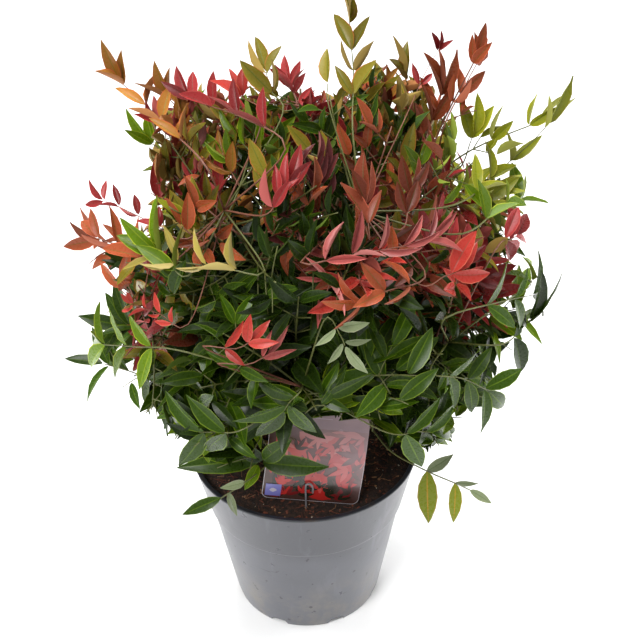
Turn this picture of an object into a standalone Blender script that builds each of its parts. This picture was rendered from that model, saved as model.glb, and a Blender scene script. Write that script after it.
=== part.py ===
"""A dwarf heavenly bamboo in its nursery pot: pot, soil, plant label, canes, boughs and
masses of foliage. Metres, +Z up, with the origin at the middle of the pot's underside."""

import math
import random

import bmesh
import bpy
import numpy as np
from mathutils import Matrix, Vector
from mathutils.bvhtree import BVHTree

# Clearance between neighbouring solids
GAP = 0.0003

# Pot: a turned shell with a wider band above a step
POT_HEIGHT = 0.1663
POT_RIM_RADIUS = 0.1041
POT_BAND_FOOT_RADIUS = 0.0927
POT_BAND_FOOT_HEIGHT = 0.1139
POT_BODY_TOP_RADIUS = 0.0905
POT_BODY_TOP_HEIGHT = 0.1115
POT_BASE_RADIUS = 0.0713
POT_WALL = 0.0022
POT_LIP_WIDTH = 0.0042
POT_LIP_HEIGHT = 0.0060
POT_FLOOR = 0.0035
POT_EDGE = 0.0009
POT_CLEARANCE = 0.003
TURN_STEPS = 36

# Drain notches round the foot of the pot
DRAIN_COUNT = 8
DRAIN_WIDTH = 0.015
DRAIN_HEIGHT = 0.0050
DRAIN_DEPTH = 0.0100

# Soil
SOIL_TOP = 0.1570

# Plant label and the peg that pins it down
LABEL_WIDTH = 0.084
LABEL_HEIGHT = 0.086
LABEL_THICKNESS = 0.0009
LABEL_FOOT = Vector((0.0045, -0.0760, SOIL_TOP + 0.0065))
LABEL_ROLL = math.radians(-7.0)
LABEL_YAW = math.radians(2.0)
LABEL_BEND = math.radians(32.0)
LABEL_ROWS = 6
# Room kept free round the label
LABEL_ROOM_SHIFT = 0.005
LABEL_ROOM_HALF_WIDTH = 0.050
LABEL_ROOM_IN_FRONT = 0.008
LABEL_ROOM_BEHIND = 0.028
LABEL_ROOM_HEIGHT = 0.096
PEG_RADIUS = 0.0011
PEG_HEIGHT = 0.024
PEG_HOOK = 0.006
PEG_SIDE_SHIFT = -0.003
PEG_STAND_OFF = 0.0001

# Crown: hearts of the masses, in rings about the pot's axis
SECTORS = 6
SECTOR = 2.0 * math.pi / SECTORS
RINGS = (
    # name, heart radius, heart height, turn of the ring, rise of the stems
    ("low", 0.100, 0.230, 0.0, math.radians(4.0)),
    ("middle", 0.122, 0.325, 0.5, math.radians(16.0)),
    ("high", 0.092, 0.425, 0.0, math.radians(46.0)),
)
LABEL_BEARING = math.radians(270.0)
LABEL_PARTING = math.radians(21.0)
HEART_JITTER = 0.008
HEART_SEED = 7
TOP_HEART = Vector((0.004, 0.006, 0.480))
CORE_HEART = Vector((-0.020, 0.018, 0.322))
TOP_RISE = math.radians(86.0)
CORE_RISE = math.radians(60.0)
CROWN_MIDDLE = Vector((0.0, 0.0, 0.335))
CROWN_RADII = Vector((0.192, 0.186, 0.196))
CELL_GAP = 0.0005

# The furthest tips of the crown: bearing from +X in degrees, distance from the axis, height
FURTHEST_TIPS = (
    (12.0, 0.046, 0.571),
    (100.0, 0.060, 0.540),
    (172.0, 0.146, 0.532),
    (206.0, 0.098, 0.528),
    (358.0, 0.142, 0.545),
    (345.0, 0.100, 0.536),
    (4.0, 0.212, 0.478),
    (348.0, 0.196, 0.418),
    (354.0, 0.213, 0.330),
    (18.0, 0.205, 0.372),
    (184.0, 0.209, 0.284),
    (176.0, 0.190, 0.395),
    (198.0, 0.182, 0.330),
    (346.0, 0.196, 0.236),
    (321.0, 0.160, 0.158),
    (330.0, 0.182, 0.180),
    (225.0, 0.143, 0.170),
    (262.0, 0.186, 0.318),
    (285.0, 0.170, 0.402),
    (62.0, 0.200, 0.330),
    (88.0, 0.196, 0.262),
    (125.0, 0.200, 0.352),
    (58.0, 0.160, 0.470),
    (130.0, 0.168, 0.455),
)

# Canes: one under each sector and one in the middle
CANE_RING = 0.030
CANE_FLARE_RADIUS = 0.0048
CANE_FLARE_NECK_RADIUS = 0.0038
CANE_RADIUS = 0.0031
CANE_TIP_RADIUS = 0.0023
CANE_FLARE_HEIGHT = 0.012
CANE_TOP_HEIGHT = 0.368
CANE_TOP_RING = 0.056
MIDDLE_CANE_TOP = Vector((0.003, 0.004, 0.425))
CANE_STEPS = 4
CANE_SWAY = 0.004
CANE_SEED = 100
CANE_TWIST = 0.25

# Boughs: leaf stalks that leave a cane and carry a mass
BOUGH_RADIUS = 0.0021
BOUGH_TIP_RADIUS = 0.0017
BOUGH_ROOT_RUN = 0.004
LOW_FORK_HEIGHT = 0.188
MIDDLE_FORK_HEIGHT = 0.268
CORE_FORK_HEIGHT = 0.240
BOUGH_REACH = 0.36
BOUGH_STEPS = 3
BOUGH_ARCH = 0.12

# Twigs and leaves of a mass
STEM_RADIUS = 0.0017
STEM_TIP_RADIUS = 0.0013
TWIG_RADIUS = 0.0010
TWIG_TIP_RADIUS = 0.0009
TWIG_LENGTH = 0.050
TWIG_ANGLE = math.radians(58.0)
TWIG_PAIRS = {"low": 4, "middle": 3, "high": 3, "top": 2, "core": 3}
TWIG_TRIES = 16
TWIG_SHRINK = 0.85
TWIG_WANDER = 0.3
TWIG_ROOT_DRAWN_IN = 0.15
FEWEST_LEAVES = 4
STEM_COLLAR = 0.006
STEM_KNEE = 0.6
STEM_PAST_HEART = 0.020
STEM_OVERLAP = 0.0012
LEAF_LENGTH = 0.064
LEAF_ASPECT = 0.39
LEAF_THICKNESS = 0.0018
LEAF_WAIST = 0.42
LEAF_SAG = 0.12
LEAF_FACE_UP = 0.55
LEAF_ROOT = 0.0002
TIP_LEAF_ROOT = 0.0006
LEAF_ANGLE = math.radians(60.0)
LEAF_NODES = (0.82, 0.38)
LEAF_ROOT_DRAWN_IN = 0.12
LEAF_ROOT_LENGTH = 0.006
LEAF_CLEARANCE = 0.0003
LEAF_TRIES = 5
LEAF_SHRINK = 0.92
LEAF_WANDER = 0.24
LEAF_TILT = 0.50
LIMB_CLEARANCE = 0.0012
SHOOT_LEAF_LENGTH = 0.052
SHOOT_LIFT = 0.07
SHOOT_BEND = 0.35
SHOOT_OVERLAP = 0.0006
PAST_CROWN = 9.0


def clear_scene():
    for thing in list(bpy.data.objects):
        bpy.data.objects.remove(thing, do_unlink=True)


def make_collection(name):
    group = bpy.data.collections.new(name)
    bpy.context.scene.collection.children.link(group)
    return group


def make_material(name, colour, roughness):
    paint = bpy.data.materials.new(name)
    paint.use_nodes = True
    shader = paint.node_tree.nodes["Principled BSDF"]
    shader.inputs["Base Color"].default_value = (*colour, 1.0)
    shader.inputs["Roughness"].default_value = roughness
    shader.inputs["Metallic"].default_value = 0.0
    paint.diffuse_color = (*colour, 1.0)
    return paint


def add_object(name, mesh, paint, group):
    thing = bpy.data.objects.new(name, mesh)
    if paint:
        mesh.materials.clear()
        mesh.materials.append(paint)
    group.objects.link(thing)
    return thing


def settled_mesh(thing, name):
    """The object's shape with its modifiers applied, as a new mesh."""
    graph = bpy.context.evaluated_depsgraph_get()
    mesh = bpy.data.meshes.new_from_object(thing.evaluated_get(graph))
    mesh.name = name
    return mesh


def polar(bearing, distance, height):
    return Vector((distance * math.cos(bearing), distance * math.sin(bearing), height))


# Pot, soil and label


def turned(name, profile, paint, group):
    """A solid of revolution from (radius, height) points that run down its outer side."""
    mesh = bpy.data.meshes.new(name)
    body = bmesh.new()
    points = [body.verts.new((radius, 0.0, height)) for radius, height in profile]
    for first, second in zip(points, points[1:]):
        body.edges.new((first, second))
    body.to_mesh(mesh)
    body.free()
    thing = add_object(name, mesh, paint, group)
    screw = thing.modifiers.new("turn", "SCREW")
    screw.steps = TURN_STEPS
    screw.render_steps = TURN_STEPS
    screw.use_merge_vertices = True
    screw.merge_threshold = 0.00001
    return thing


def wall_radius(height):
    """Outer radius of the pot at a height."""
    if height >= POT_BAND_FOOT_HEIGHT:
        share = (height - POT_BAND_FOOT_HEIGHT) / (POT_HEIGHT - POT_BAND_FOOT_HEIGHT)
        return POT_BAND_FOOT_RADIUS + share * (POT_RIM_RADIUS - POT_BAND_FOOT_RADIUS)
    share = height / POT_BODY_TOP_HEIGHT
    return POT_BASE_RADIUS + share * (POT_BODY_TOP_RADIUS - POT_BASE_RADIUS)


def inner_line(inset):
    """Points up the inside of the wall, from the floor to under the lip."""
    step_top = POT_BAND_FOOT_HEIGHT + POT_WALL
    step_foot = POT_BODY_TOP_HEIGHT
    floor = POT_FLOOR + inset
    under_lip = POT_HEIGHT - POT_LIP_HEIGHT
    reach = POT_WALL + inset
    return [
        (wall_radius(floor) - reach, floor),
        (POT_BODY_TOP_RADIUS - reach, step_foot),
        (wall_radius(step_top) - reach, step_top),
        (wall_radius(under_lip) - reach, under_lip),
    ]


def make_pot(paint, group, cutter_group):
    inside = [(0.0, POT_FLOOR)] + inner_line(0.0)
    rim = [
        (POT_RIM_RADIUS - POT_LIP_WIDTH, POT_HEIGHT - POT_EDGE),
        (POT_RIM_RADIUS - POT_LIP_WIDTH + POT_EDGE, POT_HEIGHT),
        (POT_RIM_RADIUS - POT_EDGE, POT_HEIGHT),
        (POT_RIM_RADIUS, POT_HEIGHT - POT_EDGE),
    ]
    outside = [
        (POT_BAND_FOOT_RADIUS, POT_BAND_FOOT_HEIGHT),
        (POT_BODY_TOP_RADIUS, POT_BODY_TOP_HEIGHT),
        (POT_BASE_RADIUS, POT_EDGE),
        (POT_BASE_RADIUS - POT_EDGE, 0.0),
        (0.0, 0.0),
    ]
    pot = turned("pot", inside + rim + outside, paint, group)
    for number in range(DRAIN_COUNT):
        cutter = drain_cutter(number, cutter_group)
        cut = pot.modifiers.new(cutter.name, "BOOLEAN")
        cut.operation = "DIFFERENCE"
        cut.object = cutter
    return pot


def drain_cutter(number, group):
    bearing = (number + 0.5) * 2.0 * math.pi / DRAIN_COUNT
    bpy.ops.mesh.primitive_cube_add(size=1.0)
    cutter = bpy.context.object
    cutter.name = f"drain_{number + 1}"
    for owner in list(cutter.users_collection):
        owner.objects.unlink(cutter)
    group.objects.link(cutter)
    cutter.scale = (DRAIN_DEPTH, DRAIN_WIDTH, 2.0 * DRAIN_HEIGHT)
    cutter.rotation_euler = (0.0, 0.0, bearing)
    cutter.location = polar(bearing, POT_BASE_RADIUS, 0.0)
    cutter.hide_render = True
    cutter.display_type = "WIRE"
    return cutter


def make_soil(paint, group):
    wall = inner_line(GAP)
    foot, step_foot, step_top, under_lip = wall
    share = (SOIL_TOP - step_top[1]) / (under_lip[1] - step_top[1])
    edge = step_top[0] + share * (under_lip[0] - step_top[0])
    profile = [(0.0, SOIL_TOP), (edge, SOIL_TOP), step_top, step_foot, foot, (0.0, foot[1])]
    return turned("soil", profile, paint, group)


def label_turn():
    return Matrix.Rotation(LABEL_YAW, 4, "Z") @ Matrix.Rotation(-LABEL_ROLL, 4, "Y")


def label_row(share):
    """Place of a row of the label up its bend: (set back, height) from its foot."""
    radius = LABEL_HEIGHT / LABEL_BEND
    angle = share * LABEL_BEND
    return radius * (1.0 - math.cos(angle)), radius * math.sin(angle)


def make_label(paint, group):
    """A card that stands on the soil and bends back towards its top."""
    mesh = bpy.data.meshes.new("plant_label")
    body = bmesh.new()
    bmesh.ops.create_grid(body, x_segments=1, y_segments=LABEL_ROWS, size=0.5)
    for vertex in body.verts:
        back, height = label_row(vertex.co.y + 0.5)
        vertex.co = (vertex.co.x * LABEL_WIDTH, back, height)
    body.to_mesh(mesh)
    body.free()
    label = add_object("plant_label", mesh, paint, group)
    label.matrix_world = Matrix.Translation(LABEL_FOOT) @ label_turn()
    shell = label.modifiers.new("thickness", "SOLIDIFY")
    shell.thickness = LABEL_THICKNESS
    shell.offset = 0.0
    return label


def make_peg(paint, group):
    """A thin stake in front of the label, hooked towards it at its top."""
    front = LABEL_FOOT.y - LABEL_THICKNESS / 2.0 - GAP - PEG_RADIUS - PEG_STAND_OFF
    foot = Vector((LABEL_FOOT.x + PEG_SIDE_SHIFT, front, SOIL_TOP + GAP))
    points = [
        foot,
        foot + Vector((0.0, 0.0, PEG_HEIGHT)),
        foot + Vector((PEG_HOOK / 2.0, 0.0, PEG_HEIGHT + PEG_HOOK / 2.0)),
        foot + Vector((PEG_HOOK, 0.0, PEG_HEIGHT)),
        foot + Vector((PEG_HOOK, 0.0, PEG_HEIGHT - PEG_HOOK)),
    ]
    return add_limb("label_peg", points, [PEG_RADIUS] * len(points), 1, paint, group)


# Limbs


def add_limb(name, points, radii, roundness, paint, group):
    """A tapering tube along the points, made a closed mesh with its caps welded."""
    curve = bpy.data.curves.new(name, "CURVE")
    curve.dimensions = "3D"
    curve.bevel_depth = 1.0
    curve.bevel_resolution = roundness
    curve.use_fill_caps = True
    spline = curve.splines.new("POLY")
    spline.points.add(len(points) - 1)
    for control, place, radius in zip(spline.points, points, radii):
        control.co = (*place, 1.0)
        control.radius = radius
    guide = bpy.data.objects.new(name + "_line", curve)
    group.objects.link(guide)
    mesh = settled_mesh(guide, name)
    bpy.data.objects.remove(guide, do_unlink=True)
    bpy.data.curves.remove(curve)
    body = bmesh.new()
    body.from_mesh(mesh)
    bmesh.ops.remove_doubles(body, verts=body.verts, dist=0.00001)
    body.to_mesh(mesh)
    body.free()
    return add_object(name, mesh, paint, group)


def cane_foot(number):
    if number == SECTORS:
        return Vector((0.0, 0.0, SOIL_TOP + GAP))
    bearing = (number + CANE_TWIST) * SECTOR
    return polar(bearing, CANE_RING, SOIL_TOP + GAP)


def cane_top(number):
    if number == SECTORS:
        return MIDDLE_CANE_TOP.copy()
    bearing = number * SECTOR
    return polar(bearing, CANE_TOP_RING, CANE_TOP_HEIGHT)


def cane_line(number):
    """Points up one cane: a short upright foot, then a lean towards its top."""
    chance = random.Random(CANE_SEED + number)
    foot, top = cane_foot(number), cane_top(number)
    flare = foot + Vector((0.0, 0.0, CANE_FLARE_HEIGHT))
    points = [foot, foot + Vector((0.0, 0.0, CANE_FLARE_HEIGHT / 3.0)), flare]
    for step in range(1, CANE_STEPS + 1):
        share = step / CANE_STEPS
        place = flare.lerp(top, share)
        bow = math.sin(math.pi * share)
        place += bow * CANE_SWAY * Vector((chance.uniform(-1, 1), chance.uniform(-1, 1), 0.0))
        points.append(place)
    return points


def cane_radii():
    upper = [
        CANE_RADIUS + step / CANE_STEPS * (CANE_TIP_RADIUS - CANE_RADIUS)
        for step in range(CANE_STEPS + 1)
    ]
    return [CANE_FLARE_RADIUS, CANE_FLARE_NECK_RADIUS] + upper


def at_height(points, radii, height):
    """Place, direction and radius of a cane at a height."""
    for index in range(len(points) - 1):
        low, high = points[index], points[index + 1]
        if low.z <= height <= high.z:
            share = (height - low.z) / (high.z - low.z)
            radius = radii[index] + share * (radii[index + 1] - radii[index])
            return low.lerp(high, share), (high - low).normalized(), radius
    return points[-1], (points[-1] - points[-2]).normalized(), radii[-1]


def bough_line(cane, fork_height, heart):
    """Points from the side of a cane to where the bough enters its mass."""
    middle, rise, cane_radius = at_height(cane, cane_radii(), fork_height)
    outward = heart - middle
    outward -= outward.dot(rise) * rise
    outward.normalize()
    root = middle + outward * (cane_radius + GAP)
    elbow = root + outward * BOUGH_ROOT_RUN
    tip = root.lerp(heart, BOUGH_REACH)
    points = [root, elbow]
    for step in range(1, BOUGH_STEPS + 1):
        share = step / BOUGH_STEPS
        arch = BOUGH_ARCH * (tip - elbow).length * share * (1.0 - share)
        points.append(elbow.lerp(tip, share) + Vector((0.0, 0.0, arch)))
    return points


def bough_radii():
    steps = BOUGH_STEPS + 1
    return [
        BOUGH_RADIUS + step / steps * (BOUGH_TIP_RADIUS - BOUGH_RADIUS)
        for step in range(steps + 1)
    ]


# The plan of the plant: where each cane, bough and mass goes


def heart_bearing(ring, number, turn):
    """Bearing of a mass: the two low ones at the front part round the label."""
    bearing = (number + turn) * SECTOR
    away = bearing - LABEL_BEARING
    if ring == "low" and abs(away) < SECTOR:
        bearing += math.copysign(LABEL_PARTING, away)
    return bearing


def plan_limbs():
    """Limbs as name: (points, radii), and masses as (name, heart, limb that carries it, rise)."""
    limbs, masses = {}, []
    canes = [cane_line(number) for number in range(SECTORS + 1)]
    for number, line in enumerate(canes):
        name = "cane_middle" if number == SECTORS else f"cane_{number + 1}"
        limbs[name] = (line, cane_radii())
    forks = {"low": LOW_FORK_HEIGHT, "middle": MIDDLE_FORK_HEIGHT}
    chance = random.Random(HEART_SEED)
    for ring, distance, height, turn, rise in RINGS:
        for number in range(SECTORS):
            jitter = [chance.uniform(-HEART_JITTER, HEART_JITTER) for axis in range(3)]
            bearing = heart_bearing(ring, number, turn)
            heart = polar(bearing, distance, height) + Vector(jitter)
            carrier = f"cane_{number + 1}"
            if ring in forks:
                carrier = f"bough_{ring}_{number + 1}"
                line = bough_line(canes[number], forks[ring], heart)
                limbs[carrier] = (line, bough_radii())
            masses.append((f"foliage_{ring}_{number + 1}", heart, carrier, rise))
    line = bough_line(canes[SECTORS], CORE_FORK_HEIGHT, CORE_HEART)
    limbs["bough_core"] = (line, bough_radii())
    masses.append(("foliage_core", CORE_HEART, "bough_core", CORE_RISE))
    masses.append(("foliage_top", TOP_HEART, "cane_middle", TOP_RISE))
    return limbs, masses


class OwnSpace:
    """The space that one mass keeps to, clear of its neighbours, the limbs, pot and label."""

    def __init__(self, hearts, index, limbs):
        self.heart = np.array(hearts[index])
        self.others = np.array([h for place, h in enumerate(hearts) if place != index])
        starts, ends, radii = [], [], []
        for points, widths in limbs.values():
            for place in range(len(points) - 1):
                starts.append(points[place])
                ends.append(points[place + 1])
                radii.append(max(widths[place], widths[place + 1]))
        self.starts = np.array(starts)
        self.runs = np.array(ends) - self.starts
        self.radii = np.array(radii)

    def holds(self, points, margin, limit=1.0):
        points = np.array([tuple(point) for point in points])
        return (
            self.in_cell(points, margin)
            and self.in_crown(points, limit)
            and self.off_pot_and_label(points, margin)
            and self.off_limbs(points, margin)
        )

    def in_cell(self, points, margin):
        own = ((points - self.heart) ** 2).sum(axis=1)
        for other in self.others:
            apart = np.linalg.norm(other - self.heart)
            inside = (((points - other) ** 2).sum(axis=1) - own) / (2.0 * apart)
            if inside.min() < CELL_GAP + margin:
                return False
        return True

    def in_crown(self, points, limit):
        reach = (points - np.array(CROWN_MIDDLE)) / np.array(CROWN_RADII)
        return (reach ** 2).sum(axis=1).max() < limit ** 2

    def off_pot_and_label(self, points, margin):
        distance = np.hypot(points[:, 0], points[:, 1])
        low = points[:, 2] < POT_HEIGHT + POT_CLEARANCE + margin
        if (low & (distance < POT_RIM_RADIUS + POT_CLEARANCE + margin)).any():
            return False
        middle = LABEL_FOOT.x + LABEL_ROOM_SHIFT
        across = np.abs(points[:, 0] - middle) < LABEL_ROOM_HALF_WIDTH
        in_front = points[:, 1] < LABEL_FOOT.y - LABEL_ROOM_IN_FRONT
        behind = points[:, 1] > LABEL_FOOT.y + LABEL_ROOM_BEHIND
        low = points[:, 2] < SOIL_TOP + LABEL_ROOM_HEIGHT
        return not (across & low & ~in_front & ~behind).any()

    def off_limbs(self, points, margin):
        lengths = (self.runs ** 2).sum(axis=1)
        for point in points:
            share = ((point - self.starts) * self.runs).sum(axis=1) / lengths
            nearest = self.starts + np.clip(share, 0.0, 1.0)[:, None] * self.runs
            away = np.linalg.norm(point - nearest, axis=1) - self.radii
            if away.min() < LIMB_CLEARANCE + margin:
                return False
        return True


# Foliage


def frame_along(along, up):
    """Turn that takes Z to the direction along, and Y towards up."""
    along = along.normalized()
    side = up.cross(along)
    if side.length < 0.0001:
        side = Vector((1.0, 0.0, 0.0)).cross(along)
    side.normalize()
    normal = along.cross(side)
    return Matrix((side, normal, along)).transposed().to_4x4()


def twig_body(start, end, radius, tip_radius, up):
    """A three-sided tapering twig with one edge on top, so that leaves leave its flat sides."""
    body = bmesh.new()
    length = (end - start).length
    bmesh.ops.create_cone(
        body, cap_ends=True, segments=3, radius1=radius, radius2=tip_radius, depth=length
    )
    body.transform(Matrix.Translation((start + end) / 2.0) @ frame_along(end - start, up))
    return body


def leaf_body(root, along, up, length):
    """A blade of eight faces, pointed at both ends, widest below its middle, sagging tip."""
    body = bmesh.new()
    bmesh.ops.create_uvsphere(body, u_segments=4, v_segments=2, radius=1.0)
    for vertex in body.verts:
        x, y, z = vertex.co
        share = LEAF_WAIST if abs(z) < 0.5 else (1.0 if z > 0.0 else 0.0)
        sag = LEAF_SAG * length * share ** 2
        vertex.co = (
            x * LEAF_ASPECT * length / 2.0,
            y * LEAF_THICKNESS / 2.0 - sag,
            share * length,
        )
    body.transform(Matrix.Translation(root) @ frame_along(along, up))
    return body


def outer_points(body, root):
    """Sample points over a leaf or twig, a little away from its root."""
    corners = [vertex.co.copy() for vertex in body.verts]
    samples = []
    for edge in body.edges:
        first, second = edge.verts[0].co, edge.verts[1].co
        samples += [first.lerp(second, share) for share in (0.25, 0.5, 0.75)]
    return [point for point in corners + samples if (point - root).length > LEAF_ROOT_LENGTH]


class MassBuilder:
    """Grows one mass: a stem, twigs in crossed pairs along it, and leaves in pairs on them."""

    def __init__(self, space, chance):
        self.space = space
        self.chance = chance
        self.bodies = []
        self.shapes = []
        self.leaf_count = 0

    def add_twig(self, start, end, radius, tip_radius, up, limit=1.0):
        body = twig_body(start, end, radius, tip_radius, up)
        steps = [start.lerp(end, share / 6.0) for share in range(1, 7)]
        shape = self.search_tree(body, start, TWIG_ROOT_DRAWN_IN)
        if not self.space.holds(steps, radius, limit) or self.meets(shape):
            body.free()
            return False
        self.bodies.append(body)
        self.shapes.append(shape)
        return True

    def add_leaf(self, node, along, up, length, sunk=LEAF_ROOT, limit=1.0):
        """One leaf with its root sunk in the twig at node. Tried at several twists."""
        for attempt in range(LEAF_TRIES):
            size = length * LEAF_SHRINK ** attempt * self.chance.uniform(0.94, 1.06)
            wander = LEAF_WANDER if limit == 1.0 else LEAF_WANDER / 3.0
            twist = [self.chance.uniform(-wander, wander) for axis in range(3)]
            tilt = [self.chance.uniform(-LEAF_TILT, LEAF_TILT) for axis in range(3)]
            aim = (along.normalized() + Vector(twist)).normalized()
            root = node - aim * sunk
            body = leaf_body(root, aim, up + Vector(tilt), size)
            if self.space.holds(outer_points(body, root), LEAF_CLEARANCE, limit):
                shape = self.search_tree(body, root, LEAF_ROOT_DRAWN_IN)
                if not self.meets(shape):
                    self.shapes.append(shape)
                    self.bodies.append(body)
                    self.leaf_count += 1
                    return True
            body.free()
        return False

    def meets(self, shape):
        return any(shape.overlap(other) for other in self.shapes)

    def search_tree(self, body, root, drawn_in):
        """Search tree of a twig or leaf with its root drawn in, so that it may share a node."""
        places = [vertex.co.copy() for vertex in body.verts]
        middle = sum(places, Vector()) / len(places)
        reach = (middle - root).length
        for index, place in enumerate(places):
            if (place - root).length < 0.3 * reach:
                places[index] = place.lerp(middle, 2.0 * drawn_in)
        faces = [[vertex.index for vertex in face.verts] for face in body.faces]
        return BVHTree.FromPolygons(places, faces)

    def add_spray(self, start, along, up, length, leaf_length, limit=1.0):
        """A twig with leaves in pairs and one at its tip, or none if few of them fit."""
        before = len(self.bodies), len(self.shapes), self.leaf_count
        end = start + along.normalized() * length
        if not self.add_twig(start, end, TWIG_RADIUS, TWIG_TIP_RADIUS, up, limit):
            return False
        self.leave_twig(start, end, up, leaf_length, limit)
        if self.leaf_count - before[2] >= FEWEST_LEAVES:
            return True
        for body in self.bodies[before[0]:]:
            body.free()
        del self.bodies[before[0]:]
        del self.shapes[before[1]:]
        self.leaf_count = before[2]
        return False

    def leave_twig(self, start, end, up, leaf_length, limit=1.0):
        along = (end - start).normalized()
        side = along.cross(up).normalized()
        self.add_leaf(end, along, up, leaf_length, TIP_LEAF_ROOT, limit)
        for share in LEAF_NODES:
            node = start.lerp(end, share)
            for hand in (-1.0, 1.0):
                aim = math.cos(LEAF_ANGLE) * along + hand * math.sin(LEAF_ANGLE) * side
                self.add_leaf(node, aim, up, leaf_length, LEAF_ROOT, limit)

    def add_stem(self, points, radii):
        for index in range(len(points) - 1):
            start, end = points[index], points[index + 1]
            overlap = (end - start).normalized() * STEM_OVERLAP
            early = start - overlap if index else start
            skew = Vector((0.2 * index, -0.1, 1.0))
            body = twig_body(early, end + overlap, radii[index], radii[index + 1], skew)
            self.bodies.append(body)
            self.shapes.append(self.search_tree(body, early, 0.0))


def stem_line(carrier, heart, rise):
    """The stem of a mass: from 0.3 mm past its limb's tip, past the heart and on outward."""
    points, radii = carrier
    tip = points[-1]
    heading = (tip - points[-2]).normalized()
    start = tip + heading * GAP
    flat = Vector((heart.x, heart.y, 0.0))
    flat = flat.normalized() if flat.length > 0.03 else Vector((heading.x, heading.y, 0.0))
    outward = math.cos(rise) * flat + Vector((0.0, 0.0, math.sin(rise)))
    collar = start + heading * STEM_COLLAR
    return [start, collar, collar.lerp(heart, STEM_KNEE), heart + outward * STEM_PAST_HEART]


def grow_mass(mass, carrier, space, tips):
    name, heart, _, rise = mass
    builder = MassBuilder(space, random.Random(sum(map(ord, name))))
    line = stem_line(carrier, heart, rise)
    thick = carrier[1][-1]
    builder.add_stem(line, [thick, thick, STEM_RADIUS, STEM_TIP_RADIUS])
    heading = (line[3] - line[2]).normalized()
    upward = Vector((0.0, 0.0, 1.0))
    side = heading.cross(upward)
    side = side.normalized() if side.length > 0.2 else Vector((1.0, 0.0, 0.0))
    lift = side.cross(heading).normalized()
    for tip in tips:
        grow_shoot(builder, line, tip)
    builder.leave_twig(line[2], line[3], lift, LEAF_LENGTH)
    outward = Vector((heart.x, heart.y, 0.0)) / CROWN_RADII.x
    face = (upward * LEAF_FACE_UP + outward).normalized()
    pairs = TWIG_PAIRS[name.split("_")[1]]
    for pair in range(pairs):
        node = line[1].lerp(line[3], (pair + 0.7) / (pairs + 0.2))
        for hand in (0.0, math.pi):
            for attempt in range(TWIG_TRIES):
                roll = hand + pair * math.pi / pairs
                roll += builder.chance.uniform(-TWIG_WANDER, TWIG_WANDER)
                across = math.cos(roll) * side + math.sin(roll) * lift
                wander = TWIG_WANDER * (1 + attempt)
                spread = TWIG_ANGLE + builder.chance.uniform(-wander, wander)
                aim = math.cos(spread) * heading + math.sin(spread) * across
                length = TWIG_LENGTH * builder.chance.uniform(0.8, 1.15) * TWIG_SHRINK ** attempt
                if builder.add_spray(node, aim, face, length, LEAF_LENGTH):
                    break
    return builder.bodies


def grow_shoot(builder, line, tip):
    """A long twig from the stem towards one of the crown's furthest tips, leafy at its end."""
    start = line[2].lerp(line[3], 0.5)
    up = Vector((0.0, 0.0, 1.0)) + 0.5 * (tip - CROWN_MIDDLE).normalized()
    bend = start.lerp(tip, SHOOT_BEND) + Vector((0.0, 0.0, SHOOT_LIFT * (tip - start).length))
    end = tip - (tip - bend).normalized() * SHOOT_LEAF_LENGTH
    if not builder.add_twig(start, bend, TWIG_RADIUS * 1.2, TWIG_RADIUS, up, PAST_CROWN):
        bend = start.lerp(end, 0.4)
        builder.add_twig(start, bend, TWIG_RADIUS * 1.2, TWIG_RADIUS, up, PAST_CROWN)
    early = bend - (end - bend).normalized() * SHOOT_OVERLAP
    if builder.add_twig(early, end, TWIG_RADIUS, TWIG_TIP_RADIUS, up, PAST_CROWN):
        builder.leave_twig(bend, end, up, SHOOT_LEAF_LENGTH, PAST_CROWN)


def union_of(name, bodies, paint, group):
    """One closed body from overlapping ones, by a union with a collection of them."""
    loose = make_collection(name + "_loose")
    for number, body in enumerate(bodies):
        mesh = bpy.data.meshes.new(f"{name}_{number}")
        body.to_mesh(mesh)
        body.free()
        owner = group if number == 0 else loose
        piece = add_object(mesh.name, mesh, None, owner)
        if number == 0:
            first = piece
    join = first.modifiers.new("join", "BOOLEAN")
    join.operation = "UNION"
    join.operand_type = "COLLECTION"
    join.collection = loose
    join.solver = "MANIFOLD"
    mesh = settled_mesh(first, name)
    bpy.data.objects.remove(first, do_unlink=True)
    for piece in list(loose.objects):
        bpy.data.objects.remove(piece, do_unlink=True)
    bpy.data.collections.remove(loose)
    keep_largest_body(mesh)
    return add_object(name, mesh, paint, group)


def keep_largest_body(mesh):
    """Fill hollows that the union sealed and drop loose scraps."""
    body = bmesh.new()
    body.from_mesh(mesh)
    bmesh.ops.triangulate(body, faces=body.faces)
    waiting = set(body.faces)
    islands = []
    while waiting:
        stack = [waiting.pop()]
        island = []
        while stack:
            face = stack.pop()
            island.append(face)
            for edge in face.edges:
                for near in edge.link_faces:
                    if near in waiting:
                        waiting.remove(near)
                        stack.append(near)
        islands.append(island)
    islands.sort(key=len)
    for island in islands[:-1]:
        bmesh.ops.delete(body, geom=island, context="FACES")
    bmesh.ops.delete(body, geom=[v for v in body.verts if not v.link_faces], context="VERTS")
    body.to_mesh(mesh)
    body.free()


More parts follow.
